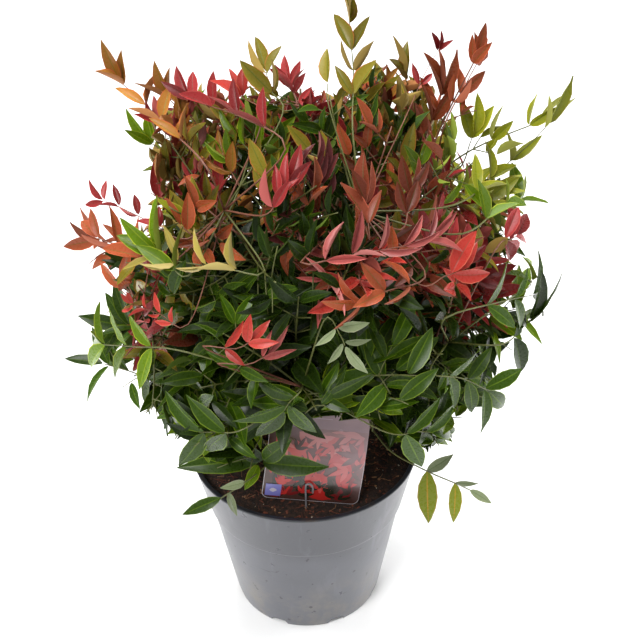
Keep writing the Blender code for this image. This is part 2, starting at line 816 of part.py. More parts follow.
def build():
    clear_scene()
    group = make_collection("heavenly_bamboo")
    cutters = make_collection("cutters")
    grey = make_material("pot_grey", (0.235, 0.235, 0.262), 0.38)
    peat = make_material("soil", (0.022, 0.011, 0.007), 0.95)
    card = make_material("label_card", (0.42, 0.12, 0.13), 0.30)
    black = make_material("peg_black", (0.015, 0.015, 0.016), 0.35)
    bark = make_material("cane_bark", (0.115, 0.072, 0.040), 0.75)
    stalk = make_material("bough_stalk", (0.150, 0.105, 0.045), 0.60)
    leaf_paints = {
        "low": make_material("leaf_green", (0.035, 0.095, 0.022), 0.35),
        "middle": make_material("leaf_olive", (0.100, 0.110, 0.024), 0.35),
        "high": make_material("leaf_bronze", (0.330, 0.060, 0.040), 0.38),
        "top": make_material("leaf_coral", (0.420, 0.070, 0.055), 0.38),
        "core": make_material("leaf_dark", (0.020, 0.050, 0.016), 0.40),
    }
    make_pot(grey, group, cutters)
    make_soil(peat, group)
    make_label(card, group)
    make_peg(black, group)
    limbs, masses = plan_limbs()
    for name, (points, radii) in limbs.items():
        is_cane = name.startswith("cane")
        add_limb(name, points, radii, 1 if is_cane else 0, bark if is_cane else stalk, group)
    hearts = [tuple(heart) for _, heart, _, _ in masses]
    tips = [polar(math.radians(b), distance, height) for b, distance, height in FURTHEST_TIPS]
    for index, mass in enumerate(masses):
        name, heart, carrier, _ = mass
        own_tips = [
            tip
            for tip in tips
            if min(hearts, key=lambda h: (Vector(h) - tip).length) == tuple(heart)
        ]
        space = OwnSpace(hearts, index, limbs)
        bodies = grow_mass(mass, limbs[carrier], space, own_tips)
        paint = leaf_paints[name.split("_")[1]]
        union_of(name, bodies, paint, group)


build()
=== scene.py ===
"""The dressed look of a potted dwarf heavenly bamboo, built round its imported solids."""

import math
import random

import bmesh
import bpy
import numpy as np
from bpy.props import FloatProperty, FloatVectorProperty, IntProperty, PointerProperty
from mathutils import Matrix, Vector, noise
from mathutils.bvhtree import BVHTree


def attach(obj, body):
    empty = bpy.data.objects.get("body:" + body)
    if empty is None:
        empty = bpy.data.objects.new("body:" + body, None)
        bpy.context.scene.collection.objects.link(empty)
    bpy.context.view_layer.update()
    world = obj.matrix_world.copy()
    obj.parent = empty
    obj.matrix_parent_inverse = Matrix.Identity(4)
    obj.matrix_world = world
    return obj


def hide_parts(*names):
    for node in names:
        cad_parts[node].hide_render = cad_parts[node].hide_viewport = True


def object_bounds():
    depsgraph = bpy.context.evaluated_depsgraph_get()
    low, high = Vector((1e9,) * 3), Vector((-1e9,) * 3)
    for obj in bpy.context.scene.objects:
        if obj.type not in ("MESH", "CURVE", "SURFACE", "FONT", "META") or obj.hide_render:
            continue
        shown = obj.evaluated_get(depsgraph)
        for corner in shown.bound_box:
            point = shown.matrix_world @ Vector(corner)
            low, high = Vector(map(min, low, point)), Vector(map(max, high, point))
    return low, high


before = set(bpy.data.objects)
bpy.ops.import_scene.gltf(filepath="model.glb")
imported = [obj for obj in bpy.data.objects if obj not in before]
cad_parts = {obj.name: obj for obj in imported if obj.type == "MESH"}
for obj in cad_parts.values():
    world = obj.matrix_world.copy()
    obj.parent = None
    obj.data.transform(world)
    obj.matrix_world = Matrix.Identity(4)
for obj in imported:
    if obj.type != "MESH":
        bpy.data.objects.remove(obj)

bl_info = {
    "name": "Potted heavenly bamboo",
    "version": (1, 0, 0),
    "blender": (4, 5, 0),
    "location": "3D View > Sidebar > Bamboo",
    "description": "Dresses a potted heavenly bamboo with fine foliage, bark, pot, peat and label",
    "category": "Object",
}

CAD_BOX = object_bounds()
UP = Vector((0.0, 0.0, 1.0))
FRONT = Vector((0.0, -1.0, 0.0))

# Pot
POT_HEIGHT = 0.1663
RIM_RADIUS = 0.1041
BAND_FOOT_RADIUS = 0.0927
BAND_FOOT_HEIGHT = 0.1139
BODY_TOP_RADIUS = 0.0905
BODY_TOP_HEIGHT = 0.1115
BASE_RADIUS = 0.0713
POT_WALL = 0.0022
LIP_WIDTH = 0.0042
LIP_HEIGHT = 0.0060
POT_FLOOR = 0.0035
INNER_HEIGHTS = (POT_FLOOR, 0.03, 0.06, 0.09, 0.110, 0.1165, 0.135, 0.150, POT_HEIGHT - LIP_HEIGHT)
POT_STEPS = 160
POT_EDGE = 0.0009
POT_HUB = 0.020
OUTER_BAND_HEIGHTS = (POT_HEIGHT - 0.0028, 0.160, 0.150, 0.140, 0.130, 0.120, 0.1160, 0.1148)
OUTER_BODY_HEIGHTS = (
    0.1108, 0.1090, 0.100, 0.085, 0.070, 0.055, 0.040, 0.025, 0.012, 0.0062, 0.0051,
)
DRAIN_COUNT = 8
DRAIN_WIDTH = 0.015
DRAIN_HEIGHT = 0.0050

# Soil
SOIL_TOP = 0.1570

# Label
LABEL_WIDTH = 0.084
LABEL_HEIGHT = 0.086
LABEL_THICKNESS = 0.0009
LABEL_FOOT = Vector((0.0045, -0.0760, SOIL_TOP + 0.0065))
LABEL_ROLL = math.radians(-9.0)
LABEL_YAW = math.radians(2.0)
LABEL_BEND = math.radians(32.0)
PEG_RADIUS = 0.0011

# Plan of the canes, boughs and hearts of the foliage
GAP = 0.0003
SECTORS = 6
SECTOR = 2.0 * math.pi / SECTORS
RINGS = (
    # name, heart radius, heart height, turn of the ring, rise of the stems
    ("low", 0.100, 0.230, 0.0, math.radians(4.0)),
    ("middle", 0.122, 0.325, 0.5, math.radians(16.0)),
    ("high", 0.092, 0.425, 0.0, math.radians(46.0)),
)
LABEL_BEARING = math.radians(270.0)
LABEL_PARTING = math.radians(21.0)
HEART_JITTER = 0.008
HEART_SEED = 7
TOP_HEART = Vector((0.004, 0.006, 0.480))
CORE_HEART = Vector((-0.020, 0.018, 0.322))
TOP_RISE = math.radians(86.0)
CORE_RISE = math.radians(60.0)
CROWN_MIDDLE = Vector((0.0, 0.0, 0.335))
CROWN_RADII = Vector((0.192, 0.186, 0.196))
CANE_RING = 0.030
CANE_FLARE_RADIUS = 0.0048
CANE_FLARE_NECK_RADIUS = 0.0038
CANE_RADIUS = 0.0031
CANE_TIP_RADIUS = 0.0023
CANE_FLARE_HEIGHT = 0.012
CANE_TOP_HEIGHT = 0.368
CANE_TOP_RING = 0.056
MIDDLE_CANE_TOP = Vector((0.003, 0.004, 0.425))
CANE_STEPS = 4
CANE_SWAY = 0.004
CANE_SEED = 100
CANE_TWIST = 0.25
BOUGH_RADIUS = 0.0021
BOUGH_TIP_RADIUS = 0.0017
BOUGH_ROOT_RUN = 0.004
LOW_FORK_HEIGHT = 0.188
MIDDLE_FORK_HEIGHT = 0.268
CORE_FORK_HEIGHT = 0.240
BOUGH_REACH = 0.36
BOUGH_STEPS = 3
BOUGH_ARCH = 0.12
STEM_COLLAR = 0.006
STEM_KNEE = 0.6
STEM_PAST_HEART = 0.020
STEM_RADIUS = 0.0014
STEM_TIP_RADIUS = 0.0009

# The furthest sprigs: bearing from +X in degrees, distance from the axis, height, tint
SPRIGS = (
    (100.0, 0.060, 0.496, "crimson"),
    (206.0, 0.090, 0.506, "bronze"),
    (358.0, 0.142, 0.545, "rust"),
    (4.0, 0.212, 0.478, "lime"),
    (348.0, 0.176, 0.410, "lime"),
    (354.0, 0.213, 0.330, "fresh_green"),
    (18.0, 0.205, 0.372, "mid_green"),
    (184.0, 0.209, 0.284, "mid_green"),
    (176.0, 0.190, 0.380, "rust"),
    (198.0, 0.182, 0.338, "mid_green"),
    (262.0, 0.186, 0.318, "dark_green"),
    (285.0, 0.170, 0.402, "coral"),
    (62.0, 0.200, 0.330, "lime"),
    (88.0, 0.196, 0.262, "mid_green"),
    (125.0, 0.200, 0.352, "bronze"),
    (58.0, 0.160, 0.470, "crimson"),
    (130.0, 0.168, 0.455, "olive"),
)

# Sprays that stand out at the front, in millimetres: tint, leaflet length, pairs of leaflets and
# the points of the stalk
SPRAYS = (
    ("bronze", 30, 4, ((-59, -97, 481), (-92, -44, 491), (-121, 15, 493), (-133, 18, 503))),
    ("crimson", 26, 4, ((-5, -99, 492), (-33, -71, 504), (-63, -43, 505), (-75, -28, 504))),
    ("coral", 24, 1, ((-21, -75, 504), (-37, -47, 512))),
    ("olive", 28, 2, ((-8, -75, 505), (-15, -49, 515), (-20, -19, 520))),
    ("olive", 27, 0, ((25, -66, 507), (24, -38, 517))),
    ("olive", 31, 4, ((40, -80, 498), (43, -22, 516), (43, 43, 527), (42, 43, 541))),
    ("crimson", 15, 2, ((78, -52, 496), (101, 34, 503), (110, 32, 520))),
    ("rust", 25, 2, ((109, -29, 482), (133, 25, 499), (139, 23, 513))),
    ("lime", 34, 4, ((110, -94, 448), (160, 5, 433), (180, 1, 455), (192, -2, 472))),
    ("fresh_green", 30, 3, ((109, -110, 433), (145, -65, 429), (175, -7, 412))),
    ("crimson", 18, 4, ((-72, -129, 442), (-98, -108, 445), (-125, -79, 444), (-140, -59, 440))),
    ("rust", 30, 3, ((-83, -133, 427), (-118, -107, 425), (-143, -78, 419))),
    ("fresh_green", 38, 3, ((-75, -159, 373), (-113, -138, 364), (-143, -111, 349))),
    ("mid_green", 40, 3, ((101, -141, 385), (147, -101, 374), (187, -41, 345))),
    ("salmon", 28, 5, ((4, -151, 435), (33, -147, 437), (66, -136, 437), (91, -123, 435))),
    ("coral", 33, 1, ((80, -142, 414), (101, -130, 412), (109, -124, 411))),
    ("rust", 26, 3, ((87, -136, 418), (59, -152, 413), (41, -160, 408))),
    ("coral", 22, 2, ((-61, -163, 378), (-40, -169, 381), (-30, -170, 387))),
    ("salmon", 26, 1, ((-52, -165, 366), (-32, -171, 370), (-20, -172, 377))),
    ("mid_green", 42, 3, ((92, -150, 347), (117, -135, 331), (140, -120, 309))),
    ("mid_green", 44, 2, ((-37, -174, 319), (-59, -167, 311), (-71, -162, 307))),
    ("mid_green", 42, 2, ((60, -166, 308), (83, -155, 299), (95, -147, 292))),
    ("cream", 26, 4, ((-19, -153, 430), (-45, -148, 430), (-76, -136, 429), (-98, -123, 427))),
    ("fresh_green", 38, 2, ((-69, -143, 423), (-85, -132, 427), (-91, -127, 430))),
    ("coral", 13, 4, ((-70, -155, 394), (-92, -144, 394), (-113, -129, 393))),
    ("crimson", 30, 3, ((142, -88, 409), (158, -62, 404), (167, -44, 399))),
    ("fresh_green", 40, 1, ((147, -101, 372), (182, -37, 349), (185, -35, 355))),
    ("brick", 30, 2, ((49, -138, 444), (48, -128, 457), (47, -121, 465))),
    ("brick", 26, 2, ((70, -128, 446), (76, -114, 457), (79, -105, 464))),
    ("crimson", 24, 3, ((-19, -132, 460), (-9, -124, 470), (-3, -119, 475))),
    ("pale", 21, 2, ((19, -166, 401), (29, -168, 390), (32, -170, 383))),
    ("dark_green", 44, 2, ((149, -104, 339), (176, -51, 318), (183, -50, 327))),
    ("mid_green", 42, 2, ((2, -178, 352), (-5, -178, 344), (-9, -178, 337))),
    ("olive", 30, 1, ((97, 20, 472), (87, 20, 496), (83, 20, 504))),
    ("rust", 32, 2, ((99, 0, 459), (108, 0, 487), (109, 0, 498))),
    ("lime", 34, 1, ((127, 0, 437), (134, 0, 458), (136, 0, 464))),
    ("fresh_green", 26, 2, ((-80, -20, 440), (-98, -20, 461), (-109, -20, 469))),
    ("crimson", 19, 2, ((-80, -20, 461), (-94, -20, 480), (-101, -20, 485))),
    ("bronze", 28, 2, ((-76, 0, 473), (-90, 0, 490), (-95, 0, 496))),
)

# Sprays that hang over the rim, leaflet by leaflet: points of the stalk, then node, tip,
# width share and tint of each leaflet
RIM_SPRAYS = (
    (
        ((0.060, -0.055, 0.222), (0.0745, -0.075, 0.2149), (0.1012, -0.100, 0.2151),
         (0.1229, -0.110, 0.2106), (0.1344, -0.115, 0.2075)),
        (
            ((0.1012, -0.100, 0.2151), (0.1017, -0.115, 0.169), 0.34, "yellow_green"),
            ((0.1229, -0.110, 0.2106), (0.1246, -0.120, 0.1745), 0.30, "yellow_green"),
            ((0.1012, -0.100, 0.2151), (0.1223, -0.098, 0.2282), 0.40, "pale"),
            ((0.1344, -0.115, 0.2075), (0.1540, -0.117, 0.1944), 0.30, "pale"),
            ((0.1229, -0.110, 0.2106), (0.1400, -0.116, 0.2136), 0.26, "pale"),
        ),
    ),
    (
        ((-0.020, -0.045, 0.226), (-0.0275, -0.080, 0.2124), (-0.0469, -0.105, 0.2107),
         (-0.0686, -0.115, 0.2009), (-0.074, -0.116, 0.1975)),
        (
            ((-0.0665, -0.115, 0.203), (-0.0990, -0.120, 0.1908), 0.30, "mid_green"),
            ((-0.0469, -0.105, 0.2107), (-0.0640, -0.118, 0.2150), 0.34, "pale"),
            ((-0.0600, -0.112, 0.2057), (-0.0540, -0.128, 0.1960), 0.34, "pale"),
        ),
    ),
    (
        ((-0.044, -0.050, 0.236), (-0.0400, -0.075, 0.2262), (-0.0334, -0.088, 0.2187)),
        (
            ((-0.0345, -0.088, 0.2199), (-0.1010, -0.100, 0.2244), 0.26, "mid_green"),
            ((-0.0320, -0.089, 0.2199), (-0.0117, -0.102, 0.2493), 0.42, "mid_green"),
            ((-0.0325, -0.090, 0.2185), (0.0186, -0.107, 0.2231), 0.33, "mid_green"),
            ((-0.0368, -0.090, 0.2157), (-0.0460, -0.108, 0.2055), 0.44, "fresh_green"),
            ((-0.0334, -0.088, 0.2189), (-0.0500, -0.100, 0.2430), 0.38, "dark_green"),
        ),
    ),
)

# Tints that lie together in the crown, seen from the front in the sight plane: place across,
# height, and the tints with their shares
ZONES = (
    (-0.124, 0.537, "bronze 5 olive 3"),
    (-0.099, 0.516, "olive 4 bronze 4 crimson 1"),
    (-0.061, 0.508, "crimson 5 wine 1 rust 2 olive 2"),
    (-0.036, 0.522, "crimson 3 coral 3 rust 2"),
    (-0.005, 0.528, "olive 7 fresh_green 1"),
    (0.025, 0.531, "olive 6 mid_green 2"),
    (0.042, 0.558, "olive 7 bronze 2"),
    (0.011, 0.496, "crimson 2 brick 2 mid_green 4 olive 4"),
    (0.046, 0.503, "olive 4 brick 3 mid_green 3"),
    (-0.031, 0.489, "crimson 3 rust 2 brick 1 olive 4 mid_green 2"),
    (-0.078, 0.475, "rust 2 crimson 2 bronze 4 olive 4"),
    (-0.059, 0.444, "rust 3 crimson 2 olive 3 bronze 3 mid_green 1"),
    (-0.019, 0.447, "crimson 2 wine 1 fresh_green 3 brick 2 olive 3 mid_green 2"),
    (0.014, 0.462, "olive 3 fresh_green 3 crimson 3 dark_green 2"),
    (0.047, 0.442, "brick 3 rust 2 wine 1 olive 3 mid_green 3"),
    (0.076, 0.446, "brick 3 crimson 2 rust 2 olive 3 mid_green 2"),
    (0.077, 0.520, "mid_green 4 olive 3 dark_green 2"),
    (0.093, 0.543, "crimson 6 rust 2"),
    (0.121, 0.536, "rust 4 crimson 2 salmon 2 olive 2"),
    (0.092, 0.487, "dark_green 3 mid_green 3 rust 2 crimson 2"),
    (0.113, 0.494, "lime 5 fresh_green 3 rust 1"),
    (0.167, 0.479, "lime 7 fresh_green 2"),
    (0.149, 0.437, "lime 6 fresh_green 3"),
    (0.115, 0.453, "crimson 3 rust 2 lime 3 fresh_green 2"),
    (-0.137, 0.438, "crimson 4 rust 3 olive 2"),
    (-0.156, 0.401, "rust 5 bronze 3 crimson 1 olive 1"),
    (-0.111, 0.400, "fresh_green 5 rust 2 olive 3"),
    (-0.085, 0.404, "fresh_green 3 lime 2 olive 4 rust 1"),
    (-0.050, 0.416, "rust 4 bronze 3 salmon 1 crimson 1 olive 2"),
    (-0.075, 0.380, "olive 3 fresh_green 3 mid_green 3 dark_green 2"),
    (-0.025, 0.395, "olive 2 rust 2 crimson 1 dark_green 5"),
    (0.014, 0.423, "dark_green 5 mid_green 2 brick 2"),
    (0.036, 0.394, "salmon 2 rust 2 crimson 2 dark_green 4"),
    (0.077, 0.401, "crimson 3 salmon 3 brick 3"),
    (0.109, 0.379, "crimson 3 coral 2 rust 2 brick 2"),
    (0.132, 0.375, "coral 2 crimson 4 dark_green 3"),
    (0.141, 0.400, "crimson 4 olive 2 lime 2"),
    (0.164, 0.396, "crimson 2 mid_green 3 lime 2"),
    (0.187, 0.360, "dark_green 4 mid_green 4 lime 2 crimson 1"),
    (0.071, 0.363, "rust 1 dark_green 7"),
    (0.036, 0.336, "rust 1 dark_green 8 fresh_green 1"),
    (0.099, 0.340, "dark_green 8 mid_green 2"),
    (0.143, 0.330, "dark_green 6 mid_green 3 fresh_green 1"),
    (0.001, 0.350, "dark_green 9 brick 1"),
    (-0.058, 0.351, "mid_green 4 dark_green 4 brick 1"),
    (-0.116, 0.352, "rust 1 crimson 1 mid_green 5 olive 2"),
    (-0.160, 0.321, "mid_green 4 fresh_green 3"),
    (-0.122, 0.301, "brick 1 mid_green 6 dark_green 3"),
    (-0.029, 0.304, "mid_green 5 dark_green 4"),
    (-0.056, 0.260, "mid_green 5 fresh_green 2 dark_green 2"),
    (0.032, 0.269, "dark_green 5 mid_green 4 fresh_green 1"),
    (0.089, 0.283, "dark_green 6 mid_green 3"),
    (0.155, 0.276, "mid_green 5 dark_green 3 fresh_green 2"),
    (-0.020, 0.223, "mid_green 6 fresh_green 2 dark_green 1"),
    (0.108, 0.220, "fresh_green 3 mid_green 4 dark_green 2"),
    (-0.103, 0.246, "dark_green 4 mid_green 4"),
)
ZONE_BLUR = 0.017

# Blade, midrib, edge and underside of each tint, as display colours
TINTS = {
    "dark_green": ((25, 40, 5), (46, 64, 12), (50, 70, 14), (50, 64, 22)),
    "mid_green": ((42, 64, 6), (74, 96, 18), (90, 110, 22), (74, 92, 32)),
    "fresh_green": ((78, 102, 10), (108, 124, 24), (138, 148, 36), (112, 126, 46)),
    "lime": ((124, 128, 28), (104, 116, 26), (160, 150, 56), (144, 146, 72)),
    "cream": ((150, 136, 66), (130, 124, 52), (176, 150, 88), (164, 148, 90)),
    "yellow_green": ((100, 108, 18), (146, 112, 28), (136, 116, 38), (160, 160, 112)),
    "pale": ((120, 130, 96), (98, 114, 74), (150, 156, 124), (146, 156, 128)),
    "olive": ((110, 100, 30), (86, 92, 26), (152, 94, 42), (138, 116, 60)),
    "bronze": ((160, 108, 46), (130, 110, 34), (190, 96, 54), (166, 112, 68)),
    "rust": ((136, 66, 38), (112, 76, 38), (170, 82, 54), (156, 90, 68)),
    "brick": ((106, 50, 33), (82, 62, 32), (140, 68, 50), (132, 76, 60)),
    "coral": ((158, 50, 42), (132, 56, 42), (178, 88, 68), (168, 86, 74)),
    "crimson": ((130, 40, 40), (106, 48, 38), (158, 68, 62), (150, 76, 72)),
    "wine": ((80, 34, 34), (70, 48, 36), (110, 58, 54), (116, 72, 68)),
    "salmon": ((160, 82, 78), (142, 70, 64), (180, 106, 96), (174, 108, 102)),
}
SHADES = (0.70, 1.0, 1.28)

# Seen from the front, the close foliage ends along this line round the crown, given as places
# across and heights in the sight plane, in millimetres; below, it leaves the rim, the peat and
# the label in sight
FRONT_EYE = np.array((0.016, -0.687, 0.716))
SIGHT_PLANE = -0.053
SIGHT_EDGE = np.array((
    (95, 185), (108, 199), (133, 207), (129, 237), (134, 249), (149, 253), (165, 259), (157, 279),
    (168, 299), (176, 320), (188, 338), (191, 358), (185, 379), (171, 386), (166, 403),
    (171, 423), (176, 440), (171, 459), (155, 467), (141, 466), (136, 490), (120, 497),
    (122, 520), (106, 532), (96, 520), (82, 527), (71, 515), (62, 523), (53, 528), (41, 515),
    (25, 516), (13, 510), (2, 515), (-22, 511), (-40, 514), (-55, 506), (-73, 500), (-86, 506),
    (-98, 496), (-106, 480), (-99, 465), (-109, 448), (-108, 432), (-96, 422), (-103, 411),
    (-122, 408), (-136, 397), (-145, 383), (-136, 367), (-132, 356), (-140, 340), (-134, 320),
    (-149, 305), (-141, 289), (-117, 283), (-117, 254), (-118, 214), (-101, 214), (-86, 189),
    (-48, 178), (-40, 190), (-30, 226), (0, 234), (60, 234), (71, 202), (94, 204),
)) / 1000.0


class BambooSizes(bpy.types.PropertyGroup):
    """Sizes of the foliage."""

    leaflet_length: FloatProperty(
        name="Leaflet length", description="Usual length of a full-grown leaflet",
        default=0.040, min=0.01, max=0.1, unit="LENGTH",
    )
    leaflet_aspect: FloatProperty(
        name="Leaflet width share", description="Width of a leaflet as a share of its length",
        default=0.34, min=0.1, max=0.8, subtype="FACTOR",
    )
    frond_length: FloatProperty(
        name="Frond length", description="Usual length of a compound leaf's main stalk",
        default=0.088, min=0.02, max=0.3, unit="LENGTH",
    )
    frond_pairs: IntProperty(
        name="Fronds per stem", description="Pairs of fronds along the stem of a mass",
        default=8, min=1, max=12,
    )
    cell_overlap: FloatProperty(
        name="Reach into neighbours", description="How far a mass may mingle with its neighbours",
        default=0.024, min=0.0, max=0.06, unit="LENGTH",
    )
    twig_radius: FloatProperty(
        name="Stalk radius", description="Radius of a frond's main stalk at its root",
        default=0.00085, min=0.0002, max=0.003, unit="LENGTH",
    )


class BambooColours(bpy.types.PropertyGroup):
    """Colours of pot, peat, bark and floor."""

    pot_grey: FloatVectorProperty(
        name="Pot outside", description="Grey of the pot's outside",
        default=(0.098, 0.100, 0.114), size=3, subtype="COLOR", min=0.0, max=1.0,
    )
    pot_black: FloatVectorProperty(
        name="Pot inside", description="Black of the pot's inside and lip",
        default=(0.012, 0.014, 0.020), size=3, subtype="COLOR", min=0.0, max=1.0,
    )
    peat: FloatVectorProperty(
        name="Peat", description="Dark brown of the damp peat",
        default=(0.021, 0.010, 0.0065), size=3, subtype="COLOR", min=0.0, max=1.0,
    )
    bark: FloatVectorProperty(
        name="Bark", description="Brown of the canes",
        default=(0.120, 0.074, 0.040), size=3, subtype="COLOR", min=0.0, max=1.0,
    )
    floor: FloatVectorProperty(
        name="Floor", description="Pale floor of the studio",
        default=(0.90, 0.90, 0.90), size=3, subtype="COLOR", min=0.0, max=1.0,
    )


# Materials


def linear(display):
    """Linear colour of a display colour given in steps from 0 to 255."""
    shares = [step / 255.0 for step in display]
    return tuple(s / 12.92 if s <= 0.04045 else ((s + 0.055) / 1.055) ** 2.4 for s in shares)


def toned(colour, share):
    """A colour made darker or paler by a share."""
    return tuple(min(1.0, share * channel) for channel in colour)


class Paint:
    """A Principled material with small helpers for its nodes."""

    def __init__(self, name, colour, roughness, **sockets):
        self.material = bpy.data.materials.new(name)
        self.material.use_nodes = True
        self.tree = self.material.node_tree
        self.shader = self.tree.nodes["Principled BSDF"]
        self.shader.inputs["Base Color"].default_value = (*colour, 1.0)
        self.shader.inputs["Roughness"].default_value = roughness
        for socket, value in sockets.items():
            self.shader.inputs[socket.replace("_", " ")].default_value = value
        self.material.diffuse_color = (*colour, 1.0)
        self.place = self.tree.nodes.new("ShaderNodeTexCoord").outputs["Object"]

    def node(self, kind, links=None, **settings):
        made = self.tree.nodes.new(kind)
        for key, value in settings.items():
            setattr(made, key, value)
        for socket, source in (links or {}).items():
            if isinstance(source, bpy.types.NodeSocket):
                self.tree.links.new(source, made.inputs[socket])
            else:
                made.inputs[socket].default_value = source
        return made

    def stretched(self, scale):
        return self.node("ShaderNodeMapping", {"Vector": self.place, "Scale": scale}).outputs[0]

    def noise(self, scale, detail=4.0, roughness=0.55, vector=None, distortion=0.0):
        made = self.node(
            "ShaderNodeTexNoise",
            {
                "Vector": vector or self.place,
                "Scale": scale,
                "Detail": detail,
                "Roughness": roughness,
                "Distortion": distortion,
            },
        )
        return made.outputs["Fac"]

    def ramp(self, factor, stops):
        made = self.node("ShaderNodeValToRGB", {"Fac": factor})
        band = made.color_ramp.elements
        while len(band) < len(stops):
            band.new(0.5)
        for element, (position, colour) in zip(band, stops):
            element.position = position
            element.color = (*colour, 1.0)
        return made.outputs["Color"]

    def math(self, operation, first, second=0.0, third=None):
        links = {0: first, 1: second}
        if third is not None:
            links[2] = third
        return self.node("ShaderNodeMath", links, operation=operation).outputs[0]

    def part(self, axis):
        """One coordinate of the place on the object."""
        return self.node("ShaderNodeSeparateXYZ", {"Vector": self.place}).outputs[axis]

    def spread(self, factor, low=0.0, high=1.0, start=0.0, end=1.0):
        """The factor from start to end spread from low to high."""
        links = {"Value": factor, "From Min": start, "From Max": end, "To Min": low, "To Max": high}
        return self.node("ShaderNodeMapRange", links).outputs["Result"]

    def mix(self, factor, first, second):
        made = self.node("ShaderNodeMix", {"Factor": factor}, data_type="RGBA")
        for socket, source in ((6, first), (7, second)):
            if isinstance(source, bpy.types.NodeSocket):
                self.tree.links.new(source, made.inputs[socket])
            else:
                made.inputs[socket].default_value = (*source, 1.0)
        return made.outputs[2]

    def drive(self, socket, source):
        self.tree.links.new(source, self.shader.inputs[socket])

    def bump(self, height, distance, strength=1.0):
        links = {"Height": height, "Distance": distance, "Strength": strength}
        self.drive("Normal", self.node("ShaderNodeBump", links).outputs["Normal"])


def leaf_paint(name, colour, roughness, specular):
    """A plain leaf colour with a finely grained, waxy surface."""
    paint = Paint(name, colour, roughness, Specular_IOR_Level=specular)
    grain = paint.noise(420.0, 3.0)
    paint.drive("Roughness", paint.spread(grain, roughness - 0.06, roughness + 0.08))
    paint.bump(paint.noise(160.0, 2.0), 0.0003, 0.2)
    return paint.material


# Meshes


def add_piece(name, mesh, replaced=(), smooth=True):
    """A finished piece of the object, riding on its only body."""
    if smooth:
        mesh.shade_smooth()
    piece = bpy.data.objects.new(name, mesh)
    bpy.context.scene.collection.objects.link(piece)
    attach(piece, "root")
    if replaced:
        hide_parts(*replaced)
    return piece


def mesh_from_arrays(name, places, faces, looks, paints):
    """A mesh from vertex places, equal-sided faces and each face's material number."""
    mesh = bpy.data.meshes.new(name)
    sides = faces.shape[1]
    mesh.vertices.add(len(places))
    mesh.vertices.foreach_set("co", np.ascontiguousarray(places, np.float32).ravel())
    mesh.loops.add(faces.size)
    mesh.loops.foreach_set("vertex_index", np.ascontiguousarray(faces, np.int32).ravel())
    mesh.polygons.add(len(faces))
    mesh.polygons.foreach_set("loop_start", np.arange(0, faces.size, sides, dtype=np.int32))
    mesh.polygons.foreach_set("material_index", np.ascontiguousarray(looks, np.int32))
    mesh.update(calc_edges=True)
    mesh.validate()
    for paint in paints:
        mesh.materials.append(paint)
    return mesh


def mesh_from_bmesh(name, body, paints):
    """A mesh from a finished bmesh, which is freed."""
    mesh = bpy.data.meshes.new(name)
    body.to_mesh(mesh)
    body.free()
    for paint in paints:
        mesh.materials.append(paint)
    return mesh


def mesh_from_tubes(name, places, faces, paint):
    """A mesh from the arrays of tubes, whose end faces repeat a corner and are triangles."""
    mesh = bpy.data.meshes.new(name)
    corners = [tuple(dict.fromkeys(face)) for face in faces.tolist()]
    mesh.from_pydata(places.tolist(), [], corners)
    mesh.materials.append(paint)
    return mesh


def smoothed(points, steps):
    """A smooth line through the points, with a number of steps between each two."""
    ends = [points[0] * 2 - points[1], *points, points[-1] * 2 - points[-2]]
    line = []
    for a, b, c, d in zip(ends, ends[1:], ends[2:], ends[3:]):
        for step in range(steps):
            t = step / steps
            line.append(
                0.5 * ((2 * b) + (c - a) * t + (2 * a - 5 * b + 4 * c - d) * t ** 2
                       + (3 * b - a - 3 * c + d) * t ** 3)
            )
    line.append(points[-1].copy())
    return line


def spread_over(values, count):
    """The values spread evenly over a number of places."""
    return np.interp(np.linspace(0.0, 1.0, count), np.linspace(0.0, 1.0, len(values)), values)


def tube_arrays(line, radii, sides, relief=None):
    """Vertex places and faces of a closed tube along a line."""
    places, tangent, side = [], None, None
    for index, point in enumerate(line):
        before, after = line[max(0, index - 1)], line[min(len(line) - 1, index + 1)]
        heading = (after - before).normalized()
        if side is None:
            side = heading.orthogonal().normalized()
        else:
            side = (side - heading * side.dot(heading)).normalized()
        other = heading.cross(side)
        for corner in range(sides):
            angle = 2.0 * math.pi * corner / sides
            radius = float(radii[index]) * (relief(index, angle, point) if relief else 1.0)
            places.append(point + radius * (math.cos(angle) * side + math.sin(angle) * other))
    faces = []
    for index in range(len(line) - 1):
        low, high = index * sides, (index + 1) * sides
        for corner in range(sides):
            near = (corner + 1) % sides
            faces.append((low + corner, low + near, high + near, high + corner))
    places += [line[0], line[-1]]
    foot, tip = len(places) - 2, len(places) - 1
    last = (len(line) - 1) * sides
    for corner in range(sides):
        near = (corner + 1) % sides
        faces.append((foot, near, corner, corner))
        faces.append((tip, last + corner, last + near, last + near))
    return np.array([tuple(p) for p in places]), np.array(faces, np.int32)


# Plan of the limbs


def polar(bearing, distance, height):
    """A place from its bearing, its distance from the axis and its height."""
    return Vector((distance * math.cos(bearing), distance * math.sin(bearing), height))


def cane_foot(number):
    """Where a cane leaves the peat: the last one in the middle, the others in a ring."""
    if number == SECTORS:
        return Vector((0.0, 0.0, SOIL_TOP + GAP))
    return polar((number + CANE_TWIST) * SECTOR, CANE_RING, SOIL_TOP + GAP)


def cane_top(number):
    """Where a cane ends, leaning outward."""
    if number == SECTORS:
        return MIDDLE_CANE_TOP.copy()
    return polar(number * SECTOR, CANE_TOP_RING, CANE_TOP_HEIGHT)


